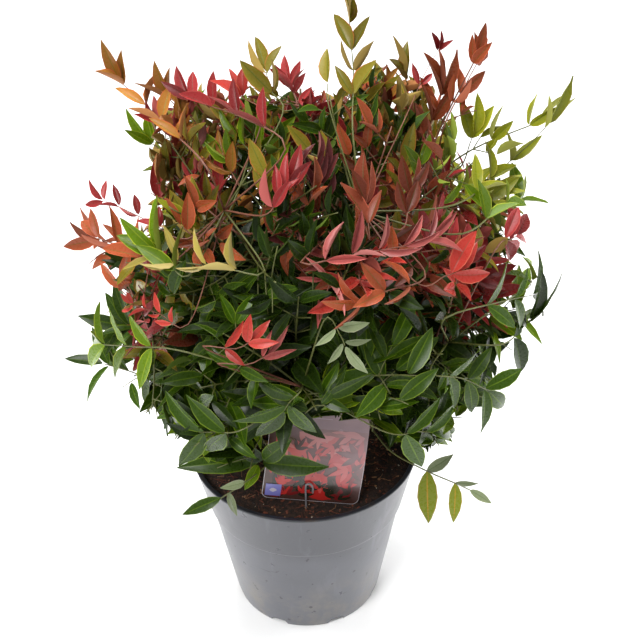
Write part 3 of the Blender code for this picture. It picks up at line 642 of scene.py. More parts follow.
def cane_line(number):
    """Points up one cane: a short upright foot, then a lean towards its top."""
    chance = random.Random(CANE_SEED + number)
    foot, top = cane_foot(number), cane_top(number)
    flare = foot + UP * CANE_FLARE_HEIGHT
    points = [foot, foot + UP * (CANE_FLARE_HEIGHT / 3.0), flare]
    for step in range(1, CANE_STEPS + 1):
        share = step / CANE_STEPS
        place = flare.lerp(top, share)
        bow = math.sin(math.pi * share)
        place += bow * CANE_SWAY * Vector((chance.uniform(-1, 1), chance.uniform(-1, 1), 0.0))
        points.append(place)
    return points


def cane_radii():
    """Radii at a cane's points: a flare at the foot, then an even taper."""
    upper = [
        CANE_RADIUS + step / CANE_STEPS * (CANE_TIP_RADIUS - CANE_RADIUS)
        for step in range(CANE_STEPS + 1)
    ]
    return [CANE_FLARE_RADIUS, CANE_FLARE_NECK_RADIUS] + upper


def at_height(points, radii, height):
    """Place, direction and radius of a cane at a height."""
    for index in range(len(points) - 1):
        low, high = points[index], points[index + 1]
        if low.z <= height <= high.z:
            share = (height - low.z) / (high.z - low.z)
            radius = radii[index] + share * (radii[index + 1] - radii[index])
            return low.lerp(high, share), (high - low).normalized(), radius
    return points[-1], (points[-1] - points[-2]).normalized(), radii[-1]


def bough_line(cane, fork_height, heart):
    """Points from the side of a cane to where the bough enters its mass."""
    middle, rise, cane_radius = at_height(cane, cane_radii(), fork_height)
    outward = heart - middle
    outward -= outward.dot(rise) * rise
    outward.normalize()
    root = middle + outward * (cane_radius + GAP)
    elbow = root + outward * BOUGH_ROOT_RUN
    tip = root.lerp(heart, BOUGH_REACH)
    points = [root, elbow]
    for step in range(1, BOUGH_STEPS + 1):
        share = step / BOUGH_STEPS
        arch = BOUGH_ARCH * (tip - elbow).length * share * (1.0 - share)
        points.append(elbow.lerp(tip, share) + UP * arch)
    return points


def bough_radii():
    """Radii at a bough's points."""
    steps = BOUGH_STEPS + 1
    return [
        BOUGH_RADIUS + step / steps * (BOUGH_TIP_RADIUS - BOUGH_RADIUS)
        for step in range(steps + 1)
    ]


def heart_bearing(ring, number, turn):
    """Bearing of a mass: the two low ones at the front part round the label."""
    bearing = (number + turn) * SECTOR
    away = bearing - LABEL_BEARING
    if ring == "low" and abs(away) < SECTOR:
        bearing += math.copysign(LABEL_PARTING, away)
    return bearing


def plan_limbs():
    """Limbs as name: (points, radii), and masses as (name, heart, limb that carries it, rise)."""
    limbs, masses = {}, []
    canes = [cane_line(number) for number in range(SECTORS + 1)]
    for number, line in enumerate(canes):
        name = "cane_middle" if number == SECTORS else f"cane_{number + 1}"
        limbs[name] = (line, cane_radii())
    forks = {"low": LOW_FORK_HEIGHT, "middle": MIDDLE_FORK_HEIGHT}
    chance = random.Random(HEART_SEED)
    for ring, distance, height, turn, rise in RINGS:
        for number in range(SECTORS):
            jitter = [chance.uniform(-HEART_JITTER, HEART_JITTER) for axis in range(3)]
            bearing = heart_bearing(ring, number, turn)
            heart = polar(bearing, distance, height) + Vector(jitter)
            carrier = f"cane_{number + 1}"
            if ring in forks:
                carrier = f"bough_{ring}_{number + 1}"
                line = bough_line(canes[number], forks[ring], heart)
                limbs[carrier] = (line, bough_radii())
            masses.append((f"foliage_{ring}_{number + 1}", heart, carrier, rise))
    line = bough_line(canes[SECTORS], CORE_FORK_HEIGHT, CORE_HEART)
    limbs["bough_core"] = (line, bough_radii())
    masses.append(("foliage_core", CORE_HEART, "bough_core", CORE_RISE))
    masses.append(("foliage_top", TOP_HEART, "cane_middle", TOP_RISE))
    return limbs, masses


def stem_line(carrier, heart, rise):
    """The stem of a mass: on from its limb's tip, past the heart and on outward."""
    points, _ = carrier
    tip = points[-1]
    heading = (tip - points[-2]).normalized()
    flat = Vector((heart.x, heart.y, 0.0))
    flat = flat.normalized() if flat.length > 0.03 else Vector((heading.x, heading.y, 0.0))
    outward = math.cos(rise) * flat + UP * math.sin(rise)
    collar = tip + heading * STEM_COLLAR
    return [tip, collar, collar.lerp(heart, STEM_KNEE), heart + outward * STEM_PAST_HEART]


# Foliage

SPRAY_SEED = 23
SPRIG_LIMIT = 1.12
CANE_FRONDS = 15
SAMPLE_SHARES = ((0.3, 0.0), (0.5, -0.5), (0.5, 0.5), (0.75, 0.0), (1.0, 0.0))
POT_CLEARANCE = 0.003
LABEL_ROOM_SHIFT = 0.004
LABEL_ROOM_HALF_WIDTH = 0.044
LABEL_ROOM_IN_FRONT = 0.020
LABEL_ROOM_BEHIND = 0.024
LABEL_ROOM_HEIGHT = 0.088
LIMB_CLEARANCE = 0.0006
BOX_MARGIN = 0.0012
SIGHT_RAGGED = 0.22
SIGHT_RAGGED_SCALE = 52.0
SIGHT_FOOT = 0.24
NO_LIMIT = 9.0
HANDS = (-1.0, 1.0)

# Ranges that a leaflet's draws come from
LEAF_SIZE = (0.84, 1.14)
LEAF_WIDTH = (0.84, 1.16)
LEAF_FOLD = (0.12, 0.45)
LEAF_DROOP = (0.05, 0.60)
LEAF_TURN = (-0.4, 0.4)
LEAF_HOOK = (-0.10, 0.10)
LEAF_WAVE = (0.0, 0.02)
LEAF_TILT = 0.5
LEAF_WANDER = 0.2
LEAF_WANDER_AGAIN = 0.4
LEAF_LIFT = 0.8
LEAF_GAP = 0.0012
RETRY_SHRINK = 0.93
SLIM_SHARE = 0.62
SHADE_CHANCES = (2, 3, 2)
LEAF_SAG = 0.42
LEAF_SHORTENING = 0.18

# By height: how steeply leaflets stand, and their share of the usual length
POISE = ((0.20, 0.30, 0.37, 0.46), (-0.24, 0.0, 0.4, 1.1))
GROWTH = ((0.22, 0.33, 0.41, 0.52), (1.10, 0.96, 0.75, 0.57))
RED_SHARE = 0.92
GREEN_SHARE = 1.06

# Angles in degrees at which leaflets and side stalks leave their stalk
PINNA_SPLAY = (42.0, 66.0)
FROND_SPLAY = (46.0, 68.0)
SPRIG_SPLAY = (34.0, 58.0)
SPRAY_SPLAY = (34.0, 54.0)

# Where they leave it, as shares of its length, and how far and long the side stalks reach
SHORT_PINNA = 0.030
PINNA_REACH = (0.8, 1.15)
PINNA_LEAF_SIZE = (0.72, 0.95)
SPRIG_LEAF_SIZE = (0.8, 1.05)
SPRIG_PINNA_LENGTH = (0.016, 0.028)
SPRAY_LEAF_SIZE = (0.84, 1.02)
FROND_SIZE = (0.8, 1.2)
CANE_FROND_SIZE = (0.9, 1.5)
SHORT_PINNA_NODES = (0.55,)
LONG_PINNA_NODES = (0.72, 0.40)
FROND_NODES = ((0.84, 0.26), (0.62, 0.34), (0.40, 0.38))
FROND_END_STALK = 0.018
SPRIG_NODES = (0.93, 0.80, 0.66, 0.52)
OWN_TINT_CHANCE = 0.35
FEWEST_LEAVES = 6
GOLDEN_TURN = 2.4
FROND_SPREAD = math.radians(62.0)
FROND_TRIES = 10
END_FROND_TRIES = 6
CANE_FROND_TRIES = 8
SPRAY_TRIES = 4
SPRIG_TRIES = 2
END_FROND_LENGTH = 0.075

# Radii along the stalks
PINNA_RADII = (0.00055, 0.00038)
SPRIG_RADII = (0.0009, 0.0005)
RIM_STALK_RADII = (0.0008, 0.0005)
SMALL_SPRAY = 0.02
SMALL_SPRAY_RADIUS = 0.0004
SPRAY_RADIUS = 0.0006

EDGE_ON_TINTS = ("salmon", "cream")
RED_TINTS = ("bronze", "rust", "brick", "coral", "crimson", "wine", "salmon")
SHADY_DEPTH = 0.62
SHADY_HEIGHT = 0.41
SHADY_CHANCE = 0.8
BACK_FROM = 0.03


def in_sight_plane(points):
    """Places moved along the line of sight from the front into the sight plane."""
    share = (SIGHT_PLANE - FRONT_EYE[1]) / (points[:, 1] - FRONT_EYE[1])
    return FRONT_EYE + (points - FRONT_EYE) * share[:, None]


def within_sight_edge(points, limit):
    """True if all places, seen from the front, lie inside the crown's line, let loose by limit."""
    seen = in_sight_plane(points)
    ripple = noise.noise(Vector(seen[-1]) * SIGHT_RAGGED_SCALE)
    ragged = limit * (1.0 + SIGHT_RAGGED * ripple)
    middle = np.array(CROWN_MIDDLE)
    seen = middle + (seen - middle) / np.where(seen[:, 2:] > SIGHT_FOOT, ragged, limit)
    x, z = seen[:, 0, None], seen[:, 2, None]
    x1, z1 = SIGHT_EDGE.T
    x2, z2 = np.roll(SIGHT_EDGE, -1, axis=0).T
    spans = (z1 > z) != (z2 > z)
    crossing = x1 + (z - z1) * (x2 - x1) / np.where(z2 == z1, 1.0, z2 - z1)
    return bool(((spans & (x < crossing)).sum(axis=1) % 2 == 1).all())


def in_box(points):
    """True if all places lie inside the box of the solids."""
    low, high = (np.array(corner) for corner in CAD_BOX)
    return bool((points > low + BOX_MARGIN).all() and (points < high - BOX_MARGIN).all())


class OwnSpace:
    """The space that one mass keeps to, clear of the limbs, pot and label."""

    def __init__(self, hearts, index, limbs, overlap):
        self.heart = np.array(hearts[index])
        others = [heart for place, heart in enumerate(hearts) if place != index]
        self.others = np.array(others).reshape(-1, 3)
        self.overlap = overlap
        starts, ends, radii = [], [], []
        for points, widths in limbs.values():
            for place in range(len(points) - 1):
                starts.append(points[place])
                ends.append(points[place + 1])
                radii.append(max(widths[place], widths[place + 1]))
        self.starts = np.array(starts)
        self.runs = np.array(ends) - self.starts
        self.lengths = (self.runs ** 2).sum(axis=1)
        self.radii = np.array(radii)

    def holds(self, points, limit=1.0):
        """True if the points lie in the mass's own cell and the crown, off pot and limbs."""
        return (
            in_box(points)
            and (limit > 1.0 or self.in_cell(points))
            and self.in_crown(points, limit)
            and within_sight_edge(points, limit)
            and self.off_pot_and_label(points)
            and self.off_limbs(points)
        )

    def in_cell(self, points):
        """True if no place is much nearer to the heart of another mass."""
        own = ((points - self.heart) ** 2).sum(axis=1)
        away = ((points[:, None, :] - self.others) ** 2).sum(axis=2)
        apart = np.linalg.norm(self.others - self.heart, axis=1)
        return bool((((away - own[:, None]) / (2.0 * apart)) > -self.overlap).all())

    def in_crown(self, points, limit):
        """True if all places lie in the crown's rounded reach."""
        reach = (points - np.array(CROWN_MIDDLE)) / np.array(CROWN_RADII)
        return (reach ** 2).sum(axis=1).max() < limit ** 2

    def off_pot_and_label(self, points):
        """True if all places keep clear of the rim and of the room round the label."""
        distance = np.hypot(points[:, 0], points[:, 1])
        low = points[:, 2] < POT_HEIGHT + POT_CLEARANCE
        if (low & (distance < RIM_RADIUS + POT_CLEARANCE)).any():
            return False
        middle = LABEL_FOOT.x + LABEL_ROOM_SHIFT
        across = np.abs(points[:, 0] - middle) < LABEL_ROOM_HALF_WIDTH
        in_front = points[:, 1] < LABEL_FOOT.y - LABEL_ROOM_IN_FRONT
        behind = points[:, 1] > LABEL_FOOT.y + LABEL_ROOM_BEHIND
        low = points[:, 2] < SOIL_TOP + LABEL_ROOM_HEIGHT
        return not (across & low & ~in_front & ~behind).any()

    def off_limbs(self, points):
        """True if all places keep clear of the canes and boughs."""
        offsets = points[:, None, :] - self.starts
        share = np.clip((offsets * self.runs).sum(axis=2) / self.lengths, 0.0, 1.0)
        nearest = self.starts + share[:, :, None] * self.runs
        away = np.linalg.norm(points[:, None, :] - nearest, axis=2) - self.radii
        return away.min() > LIMB_CLEARANCE


class Crown:
    """All leaflets and stalks of the plant, kept from crossing each other."""

    def __init__(self, sizes):
        self.sizes = sizes
        self.leaves = []
        self.stalks = []
        self.middles = np.zeros((0, 3))
        self.trees = []

    def add_leaf(self, space, chance, node, aim, face, length, tint, limit=1.0, tries=3):
        """One leaflet from its node, tried at several twists."""
        lift = poise(node.z)
        upright = max(0.0, lift)
        slim = SLIM_SHARE if tint in EDGE_ON_TINTS else 1.0
        for attempt in range(tries):
            size = length * RETRY_SHRINK ** attempt * chance.uniform(*LEAF_SIZE)
            wander = LEAF_WANDER if attempt == 0 else LEAF_WANDER_AGAIN
            twist = Vector([chance.uniform(-wander, wander) for axis in range(3)])
            tilts = [chance.uniform(-LEAF_TILT, LEAF_TILT) * (1.0 + upright) for axis in range(3)]
            tilt = Vector(tilts)
            along = (aim.normalized() + LEAF_LIFT * lift * UP + twist).normalized()
            side = (face + tilt).cross(along)
            if side.length < 0.05:
                continue
            side.normalize()
            normal = along.cross(side)
            width = size * self.sizes.leaflet_aspect * chance.uniform(*LEAF_WIDTH) * slim
            leaf = {
                "root": node + along * LEAF_GAP,
                "axes": (side, normal, along),
                "length": size,
                "width": width,
                "fold": chance.uniform(*LEAF_FOLD) + 0.35 * upright + (1.0 - slim),
                "droop": chance.uniform(*LEAF_DROOP) * (1.0 - 0.6 * upright),
                "turn": chance.uniform(*LEAF_TURN),
                "hook": chance.uniform(*LEAF_HOOK),
                "wave": chance.uniform(*LEAF_WAVE),
                "tint": tint,
                "shade": chance.choices(range(len(SHADES)), SHADE_CHANCES)[0],
            }
            points = leaf_points(leaf)
            if space.holds(points, limit) and self.keep(leaf):
                return

    def keep(self, leaf):
        """Adds the leaflet, and says so, unless it crosses one that is there."""
        tree, middle = leaf_tree(leaf_points(leaf))
        if self.crosses(tree, middle, leaf["length"]):
            return False
        self.leaves.append(leaf)
        self.trees.append(tree)
        self.middles = np.vstack([self.middles, middle])
        return True

    def crosses(self, tree, middle, size):
        """True if the leaflet cuts through one near it."""
        if not len(self.trees):
            return False
        near = np.flatnonzero(((self.middles - middle) ** 2).sum(axis=1) < (size * 1.1) ** 2)
        return any(tree.overlap(self.trees[index]) for index in near)

    def undo(self, leaves, stalks):
        """Takes away what was added since these counts."""
        del self.leaves[leaves:]
        del self.trees[leaves:]
        del self.stalks[stalks:]
        self.middles = self.middles[:leaves]


def leaf_points(leaf):
    """A few points over a leaflet: along its middle, at its widest and at its tip."""
    side, normal, along = leaf["axes"]
    points = []
    for share, across in SAMPLE_SHARES:
        sag = leaf["droop"] * share ** 2 * LEAF_SAG
        lift = abs(across) * leaf["width"] * math.tan(leaf["fold"])
        points.append(
            leaf["root"]
            + along * (share * leaf["length"] * (1.0 - LEAF_SHORTENING * leaf["droop"] ** 2))
            + side * (across * leaf["width"])
            + normal * (lift - sag * leaf["length"])
        )
    return np.array([tuple(point) for point in points])


def leaf_tree(points):
    """Search tree over a coarse leaflet, its root left out, and its middle."""
    faces = [(0, 1, 3), (0, 3, 2), (1, 4, 3), (2, 3, 4)]
    places = [Vector(point) for point in points]
    return BVHTree.FromPolygons(places, faces), points.mean(axis=0)


def poise(height):
    """How steeply leaflets stand: hanging low in the crown and upright in its top."""
    return float(np.interp(height, *POISE))


def zone_tint(place, chance):
    """Tint of a spray at a place in the crown, by the nearest zone seen from front or back."""
    behind = -1.0 if place.y > BACK_FROM else 1.0
    seen = in_sight_plane(np.array([[behind * place.x, behind * place.y, place.z]]))[0]
    across = seen[0] + chance.uniform(-ZONE_BLUR, ZONE_BLUR)
    height = seen[2] + chance.uniform(-ZONE_BLUR, ZONE_BLUR)
    nearest = min(ZONES, key=lambda zone: math.hypot(zone[0] - across, zone[1] - height))
    words = nearest[2].split()
    depth = math.hypot(place.x, place.y) / CROWN_RADII.x
    if depth < SHADY_DEPTH and place.z < SHADY_HEIGHT and chance.random() < SHADY_CHANCE:
        return "dark_green"
    return chance.choices(words[::2], [float(share) for share in words[1::2]])[0]


def leaflet_size(base, tint, height):
    """Length of a leaflet: large and green below, small and young in the top."""
    size = base * float(np.interp(height, *GROWTH))
    return size * (RED_SHARE if tint in RED_TINTS else GREEN_SHARE)


def bent_line(start, aim, bend, length, steps):
    """Points of a stalk that starts along aim and bends more and more."""
    points = [start.copy()]
    for step in range(steps):
        share = (step + 0.5) / steps
        heading = (aim + bend * share).normalized()
        points.append(points[-1] + heading * (length / steps))
    return points


def on_line(points, share):
    """Place and direction at a share of a line with even steps."""
    place = min(share * (len(points) - 1), len(points) - 1.001)
    index = int(place)
    start, end = points[index], points[index + 1]
    return start.lerp(end, place - index), (end - start).normalized()


def splayed(chance, heading, side, hand, angles):
    """A direction off to one hand of a heading, at an angle drawn from a range in degrees."""
    angle = math.radians(chance.uniform(*angles))
    return math.cos(angle) * heading + hand * math.sin(angle) * side


def grow_pinna(crown, space, chance, start, aim, face, length, leaf_length, tint, limit=1.0):
    """A side stalk with a leaflet at its tip and one or two pairs below."""
    if chance.random() < OWN_TINT_CHANCE:
        tint = zone_tint(start + aim * length, chance)
    bend = face * chance.uniform(-0.1, 0.2) - UP * chance.uniform(0.0, 0.35)
    line = bent_line(start, aim, bend, length, 3)
    before = len(crown.leaves)
    side = aim.cross(face).normalized()
    tip, heading = on_line(line, 1.0)
    crown.add_leaf(space, chance, tip, heading, face, leaf_length, tint, limit)
    for share in SHORT_PINNA_NODES if length < SHORT_PINNA else LONG_PINNA_NODES:
        node, heading = on_line(line, share)
        for hand in HANDS:
            out = splayed(chance, heading, side, hand, PINNA_SPLAY)
            size = leaf_length * chance.uniform(*PINNA_LEAF_SIZE)
            crown.add_leaf(space, chance, node, out, face, size, tint, limit)
    if len(crown.leaves) > before:
        crown.stalks.append((line, PINNA_RADII, tint))


def grow_frond(crown, space, chance, start, aim, face, bend, length, tint):
    """A compound leaf with paired side stalks and a leafy end; False if there is no room for it."""
    leaves, stalks = len(crown.leaves), len(crown.stalks)
    line = bent_line(start, aim, bend, length, 7)
    if not space.holds(np.array([tuple(p) for p in line[2:]])):
        return False
    leaf_length = leaflet_size(crown.sizes.leaflet_length, tint, line[-1].z)
    heading = (line[-1] - line[-2]).normalized()
    grow_pinna(
        crown, space, chance, line[-1], heading, face, FROND_END_STALK, leaf_length, tint,
    )
    for share, reach in FROND_NODES:
        node, heading = on_line(line, share)
        side = heading.cross(face).normalized()
        for hand in HANDS:
            out = splayed(chance, heading, side, hand, FROND_SPLAY)
            run = length * reach * chance.uniform(*PINNA_REACH)
            grow_pinna(crown, space, chance, node, out, face, run, leaf_length, tint)
    if len(crown.leaves) - leaves < FEWEST_LEAVES:
        crown.undo(leaves, stalks)
        return False
    radius = crown.sizes.twig_radius
    crown.stalks.append((line, (radius, radius * 0.6), tint))
    return True


def grow_sprig(crown, space, chance, line, tip, tint):
    """A long stalk from a stem to one of the furthest tips, leafy over its outer half."""
    start = line[2].lerp(line[3], 0.5)
    leaf_length = leaflet_size(crown.sizes.leaflet_length, tint, tip.z)
    reach = (tip - start).length
    bend = start.lerp(tip, 0.35) + UP * (0.07 * reach)
    end = tip - (tip - bend).normalized() * leaf_length * 0.95
    stalk = smoothed([start, bend, end], 6)
    outward = (tip - CROWN_MIDDLE).normalized()
    face = (UP + 0.6 * outward + Vector((0.0, -0.6, 0.0))).normalized()
    heading = (end - bend).normalized()
    crown.add_leaf(space, chance, end, heading, face, leaf_length, tint, NO_LIMIT, SPRIG_TRIES)
    side = heading.cross(face).normalized()
    for number, share in enumerate(SPRIG_NODES):
        node, heading = on_line(stalk, share)
        for hand in HANDS:
            out = splayed(chance, heading, side, hand, SPRIG_SPLAY)
            size = leaf_length * chance.uniform(*SPRIG_LEAF_SIZE)
            if number % 2 and reach > 0.08:
                run = chance.uniform(*SPRIG_PINNA_LENGTH)
                grow_pinna(crown, space, chance, node, out, face, run, size, tint, SPRIG_LIMIT)
            else:
                crown.add_leaf(space, chance, node, out, face, size, tint, NO_LIMIT)
    crown.stalks.append((stalk, SPRIG_RADII, tint))


def evenly(line, count):
    """The same line with its points at even steps."""
    reach = np.cumsum([0.0] + [(b - a).length for a, b in zip(line, line[1:])])
    rows = np.array([tuple(point) for point in line])
    wanted = np.linspace(0.0, reach[-1], count)
    columns = [np.interp(wanted, reach, rows[:, axis]) for axis in range(3)]
    return [Vector(row) for row in zip(*columns)], float(reach[-1])


def grow_spray(crown, space, chance, roots, spray):
    """A spray from the nearest stem out along its points, leafy where it stands out."""
    tint, length, pairs, places = spray
    length /= 1000.0
    points = [Vector([part / 1000.0 for part in place]) for place in places]
    root = min(roots, key=lambda place: (place - points[0]).length)
    stalk, reach = evenly(smoothed([root, *points], 7), 22)
    run = sum((b - a).length for a, b in zip(points, points[1:]))
    face = ((points[-1] - CROWN_MIDDLE).normalized() + UP * 0.4 + FRONT * 0.8).normalized()
    end, heading = on_line(stalk, 1.0)
    crown.add_leaf(space, chance, end, heading, face, length, tint, NO_LIMIT, SPRAY_TRIES)
    for number in range(pairs):
        back = length * 0.12 + run * number / max(1, pairs)
        node, heading = on_line(stalk, max(0.1, 1.0 - back / reach))
        side = heading.cross(face).normalized()
        for hand in HANDS:
            out = splayed(chance, heading, side, hand, SPRAY_SPLAY)
            size = length * chance.uniform(*SPRAY_LEAF_SIZE)
            crown.add_leaf(space, chance, node, out, face, size, tint, NO_LIMIT, SPRAY_TRIES)
    thin = SMALL_SPRAY_RADIUS if length < SMALL_SPRAY else SPRAY_RADIUS
    crown.stalks.append((stalk, (thin * 1.3, thin, thin * 0.6), tint))


def hang_spray(crown, spray):
    """A spray over the pot's rim, each leaflet put where it hangs."""
    places, leaflets = spray
    stalk = smoothed([Vector(place) for place in places], 6)
    crown.stalks.append((stalk, RIM_STALK_RADII, "fresh_green"))
    for number, (root, tip, share, tint) in enumerate(leaflets):
        root, tip = Vector(root), Vector(tip)
        along = (tip - root).normalized()
        face = UP * 0.6 + FRONT
        side = face.cross(along).normalized()
        length = (tip - root).length * 1.02
        crown.keep({
            "root": root, "axes": (side, along.cross(side), along), "length": length,
            "width": length * share, "fold": 0.25, "droop": 0.25,
            "turn": 0.2 * (-1) ** number, "hook": 0.04 * (-1) ** number, "wave": 0.01,
            "tint": tint, "shade": number % 2 + (tint != "pale"),
        })


def grow_cane_fronds(crown, space, name, points):
    """Fronds along a cane that fill the crown's shaded inside and its foot."""
    chance = random.Random(sum(map(ord, name)))
    line, reach = evenly(smoothed(points, 6), 60)
    for number in range(CANE_FRONDS):
        node, rise = on_line(line, 0.16 + 0.8 * number / CANE_FRONDS)
        for attempt in range(CANE_FROND_TRIES):
            bearing = number * GOLDEN_TURN + attempt * 0.8 + chance.uniform(-0.4, 0.4)
            aim = polar(bearing, 1.0, chance.uniform(-0.1, 0.7)).normalized()
            length = crown.sizes.frond_length * chance.uniform(*CANE_FROND_SIZE)
            length *= RETRY_SHRINK ** attempt
            bend = -UP * chance.uniform(0.0, 0.5)
            tint = zone_tint(node + aim * length, chance)
            face = (UP + 0.5 * aim).normalized()
            if grow_frond(crown, space, chance, node, aim, face, bend, length, tint):
                break


def grow_mass(crown, mass, carrier, space, tips):
    """The stem of one mass, its sprigs, and fronds in crossed pairs along the stem."""
    name, heart, _, rise = mass
    chance = random.Random(sum(map(ord, name)))
    line = stem_line(carrier, heart, rise)
    crown.stalks.append(
        (smoothed(line, 5), [carrier[1][-1], STEM_RADIUS, STEM_TIP_RADIUS], "bark")
    )
    heading = (line[3] - line[2]).normalized()
    side = heading.cross(UP)
    side = side.normalized() if side.length > 0.2 else Vector((1.0, 0.0, 0.0))
    lift = side.cross(heading).normalized()
    outward = Vector((heart.x, heart.y, 0.0)) / CROWN_RADII.x
    upright = max(0.0, min(1.0, poise(heart.z)))
    face = (UP * (0.8 - 0.6 * upright) + outward * (0.9 + upright)).normalized()
    if outward.length < 0.2:
        face = (UP + FRONT * 0.8).normalized()
    for tip, tint in tips:
        grow_sprig(crown, space, chance, line, tip, tint)
    low = "_low_" in name
    for attempt in range(END_FROND_TRIES):
        tint = zone_tint(line[3] + heading * 0.05, chance)
        bend = lift * chance.uniform(-0.4, 0.2) + side * chance.uniform(-0.3, 0.3)
        if grow_frond(
            crown, space, chance, line[3], heading, face, bend, END_FROND_LENGTH, tint,
        ):
            break
    pairs = crown.sizes.frond_pairs - (heart.z > 0.4)
    for pair in range(pairs):
        node = line[1].lerp(line[3], (pair + 0.5) / pairs)
        for hand in (0.0, math.pi):
            for attempt in range(FROND_TRIES):
                roll = hand + pair * GOLDEN_TURN + chance.uniform(-0.4, 0.4)
                across = math.cos(roll) * side + math.sin(roll) * lift
                spread = FROND_SPREAD + chance.uniform(-0.3, 0.3) * (1 + 0.4 * attempt)
                aim = math.cos(spread) * heading + math.sin(spread) * across
                if low:
                    sag = chance.uniform(0.2, 0.8)
                else:
                    sag = chance.uniform(-0.2, 0.4) - poise(node.z)
                bend = outward * 0.3 - UP * sag
                length = crown.sizes.frond_length * chance.uniform(*FROND_SIZE) * 0.9 ** attempt
                tint = zone_tint(node + aim * length, chance)
                if grow_frond(crown, space, chance, node, aim, face, bend, length, tint):
                    break


# Meshes of leaflets: stations along the blade, its width at each, and lines across it
STATIONS = np.array([0.0, 0.08, 0.24, 0.45, 0.67, 0.87, 1.0])
WIDTHS = np.array([0.08, 0.50, 0.88, 1.0, 0.78, 0.36, 0.03])
ACROSS = np.array([-1.0, -0.90, -0.07, 0.07, 0.90, 1.0])
LEAF_DEPTH = 0.0002
LEAVES_IN_PIECE = 1600
LEAF_FINISH = (0.27, 0.18)
UNDERSIDE_FINISH = (0.5, 0.10)
STALK_PAINTS = {"green": (92, 96, 42), "red": (122, 72, 52), "bark": (104, 82, 50)}
STALK_SIDES = 5
STEM_SIDES = 6


def leaf_block(leaves, depth):
    """Vertex places of one side of many leaflets, as leaflet x station x across x 3."""
    roots = np.array([tuple(leaf["root"]) for leaf in leaves])[:, None, None, :]
    axes = np.array([[tuple(axis) for axis in leaf["axes"]] for leaf in leaves])
    side, normal, along = (axes[:, k][:, None, None, :] for k in range(3))

    def number(key):
        return np.array([leaf[key] for leaf in leaves])[:, None]

    length, width, fold = number("length"), number("width"), number("fold")
    t = STATIONS[None, :]
    angle = number("droop") * t ** 1.4
    steps = np.diff(STATIONS, prepend=0.0)[None, :]
    ahead = np.cumsum(np.cos(angle) * steps, axis=1) * length
    down = -np.cumsum(np.sin(angle) * steps, axis=1) * length
    hook = number("hook") * t ** 2 * length
    half = WIDTHS[None, :] * width / 2.0
    x = half[:, :, None] * ACROSS[None, None, :]
    rise = np.abs(x) * np.tan(fold)[:, :, None]
    ripple = number("wave") * length * np.sin(t * 19.0 + number("hook") * 90.0)
    rise += ripple[:, :, None] * ACROSS[None, None, :]
    rise -= depth * (np.abs(ACROSS) < 0.95)[None, None, :]
    turn = (number("turn") * t)[:, :, None]
    x_turned = x * np.cos(turn) - rise * np.sin(turn)
    rise_turned = x * np.sin(turn) + rise * np.cos(turn)
    bend = angle[:, :, None]
    along_part = ahead[:, :, None] + rise_turned * np.sin(bend)
    normal_part = down[:, :, None] + rise_turned * np.cos(bend)
    return (
        roots
        + (x_turned + hook[:, :, None])[..., None] * side
        + normal_part[..., None] * normal
        + along_part[..., None] * along
    )


def lattice_faces(under):
    """Quads over the stations, split along the same diagonals on both sides."""
    columns = len(ACROSS)
    faces = []
    for row in range(len(STATIONS) - 1):
        for column in range(columns - 1):
            a = row * columns + column
            b, c, d = a + columns, a + columns + 1, a + 1
            faces.append((a, d, c, b) if under else (a, b, c, d))
    return np.array(faces, np.int32)


def leaf_mesh(name, leaves, paints):
    """All leaflets of one tint in one mesh: upper side in strips, paler underside."""
    count, size = len(leaves), len(STATIONS) * len(ACROSS)
    top = leaf_block(leaves, 0.0).reshape(count, size, 3)
    under = leaf_block(leaves, LEAF_DEPTH).reshape(count, size, 3)
    places = np.concatenate([top, under], axis=1)
    block = np.concatenate([lattice_faces(False), lattice_faces(True) + size])
    offsets = (np.arange(count) * 2 * size)[:, None, None]
    rows = len(STATIONS) - 1
    looks = np.concatenate([np.array([2, 0, 1, 0, 2] * rows), np.full(5 * rows, 3)])
    shades = np.array([leaf["shade"] for leaf in leaves])[:, None]
    return mesh_from_arrays(
        name, places.reshape(-1, 3), (block[None] + offsets).reshape(-1, 4),
        (looks[None] + 4 * shades).ravel(), paints,
    )


def tint_paints(tint):
    """Blade, midrib, edge and underside of a tint, in each shade."""
    paints = []
    for number, shade in enumerate(SHADES):
        for part, colour in zip(("blade", "midrib", "edge", "under"), TINTS[tint]):
            finish = UNDERSIDE_FINISH if part == "under" else LEAF_FINISH
            tone = toned(linear(colour), shade)
            paints.append(leaf_paint(f"{tint}_{part}_{number + 1}", tone, *finish))
    return paints


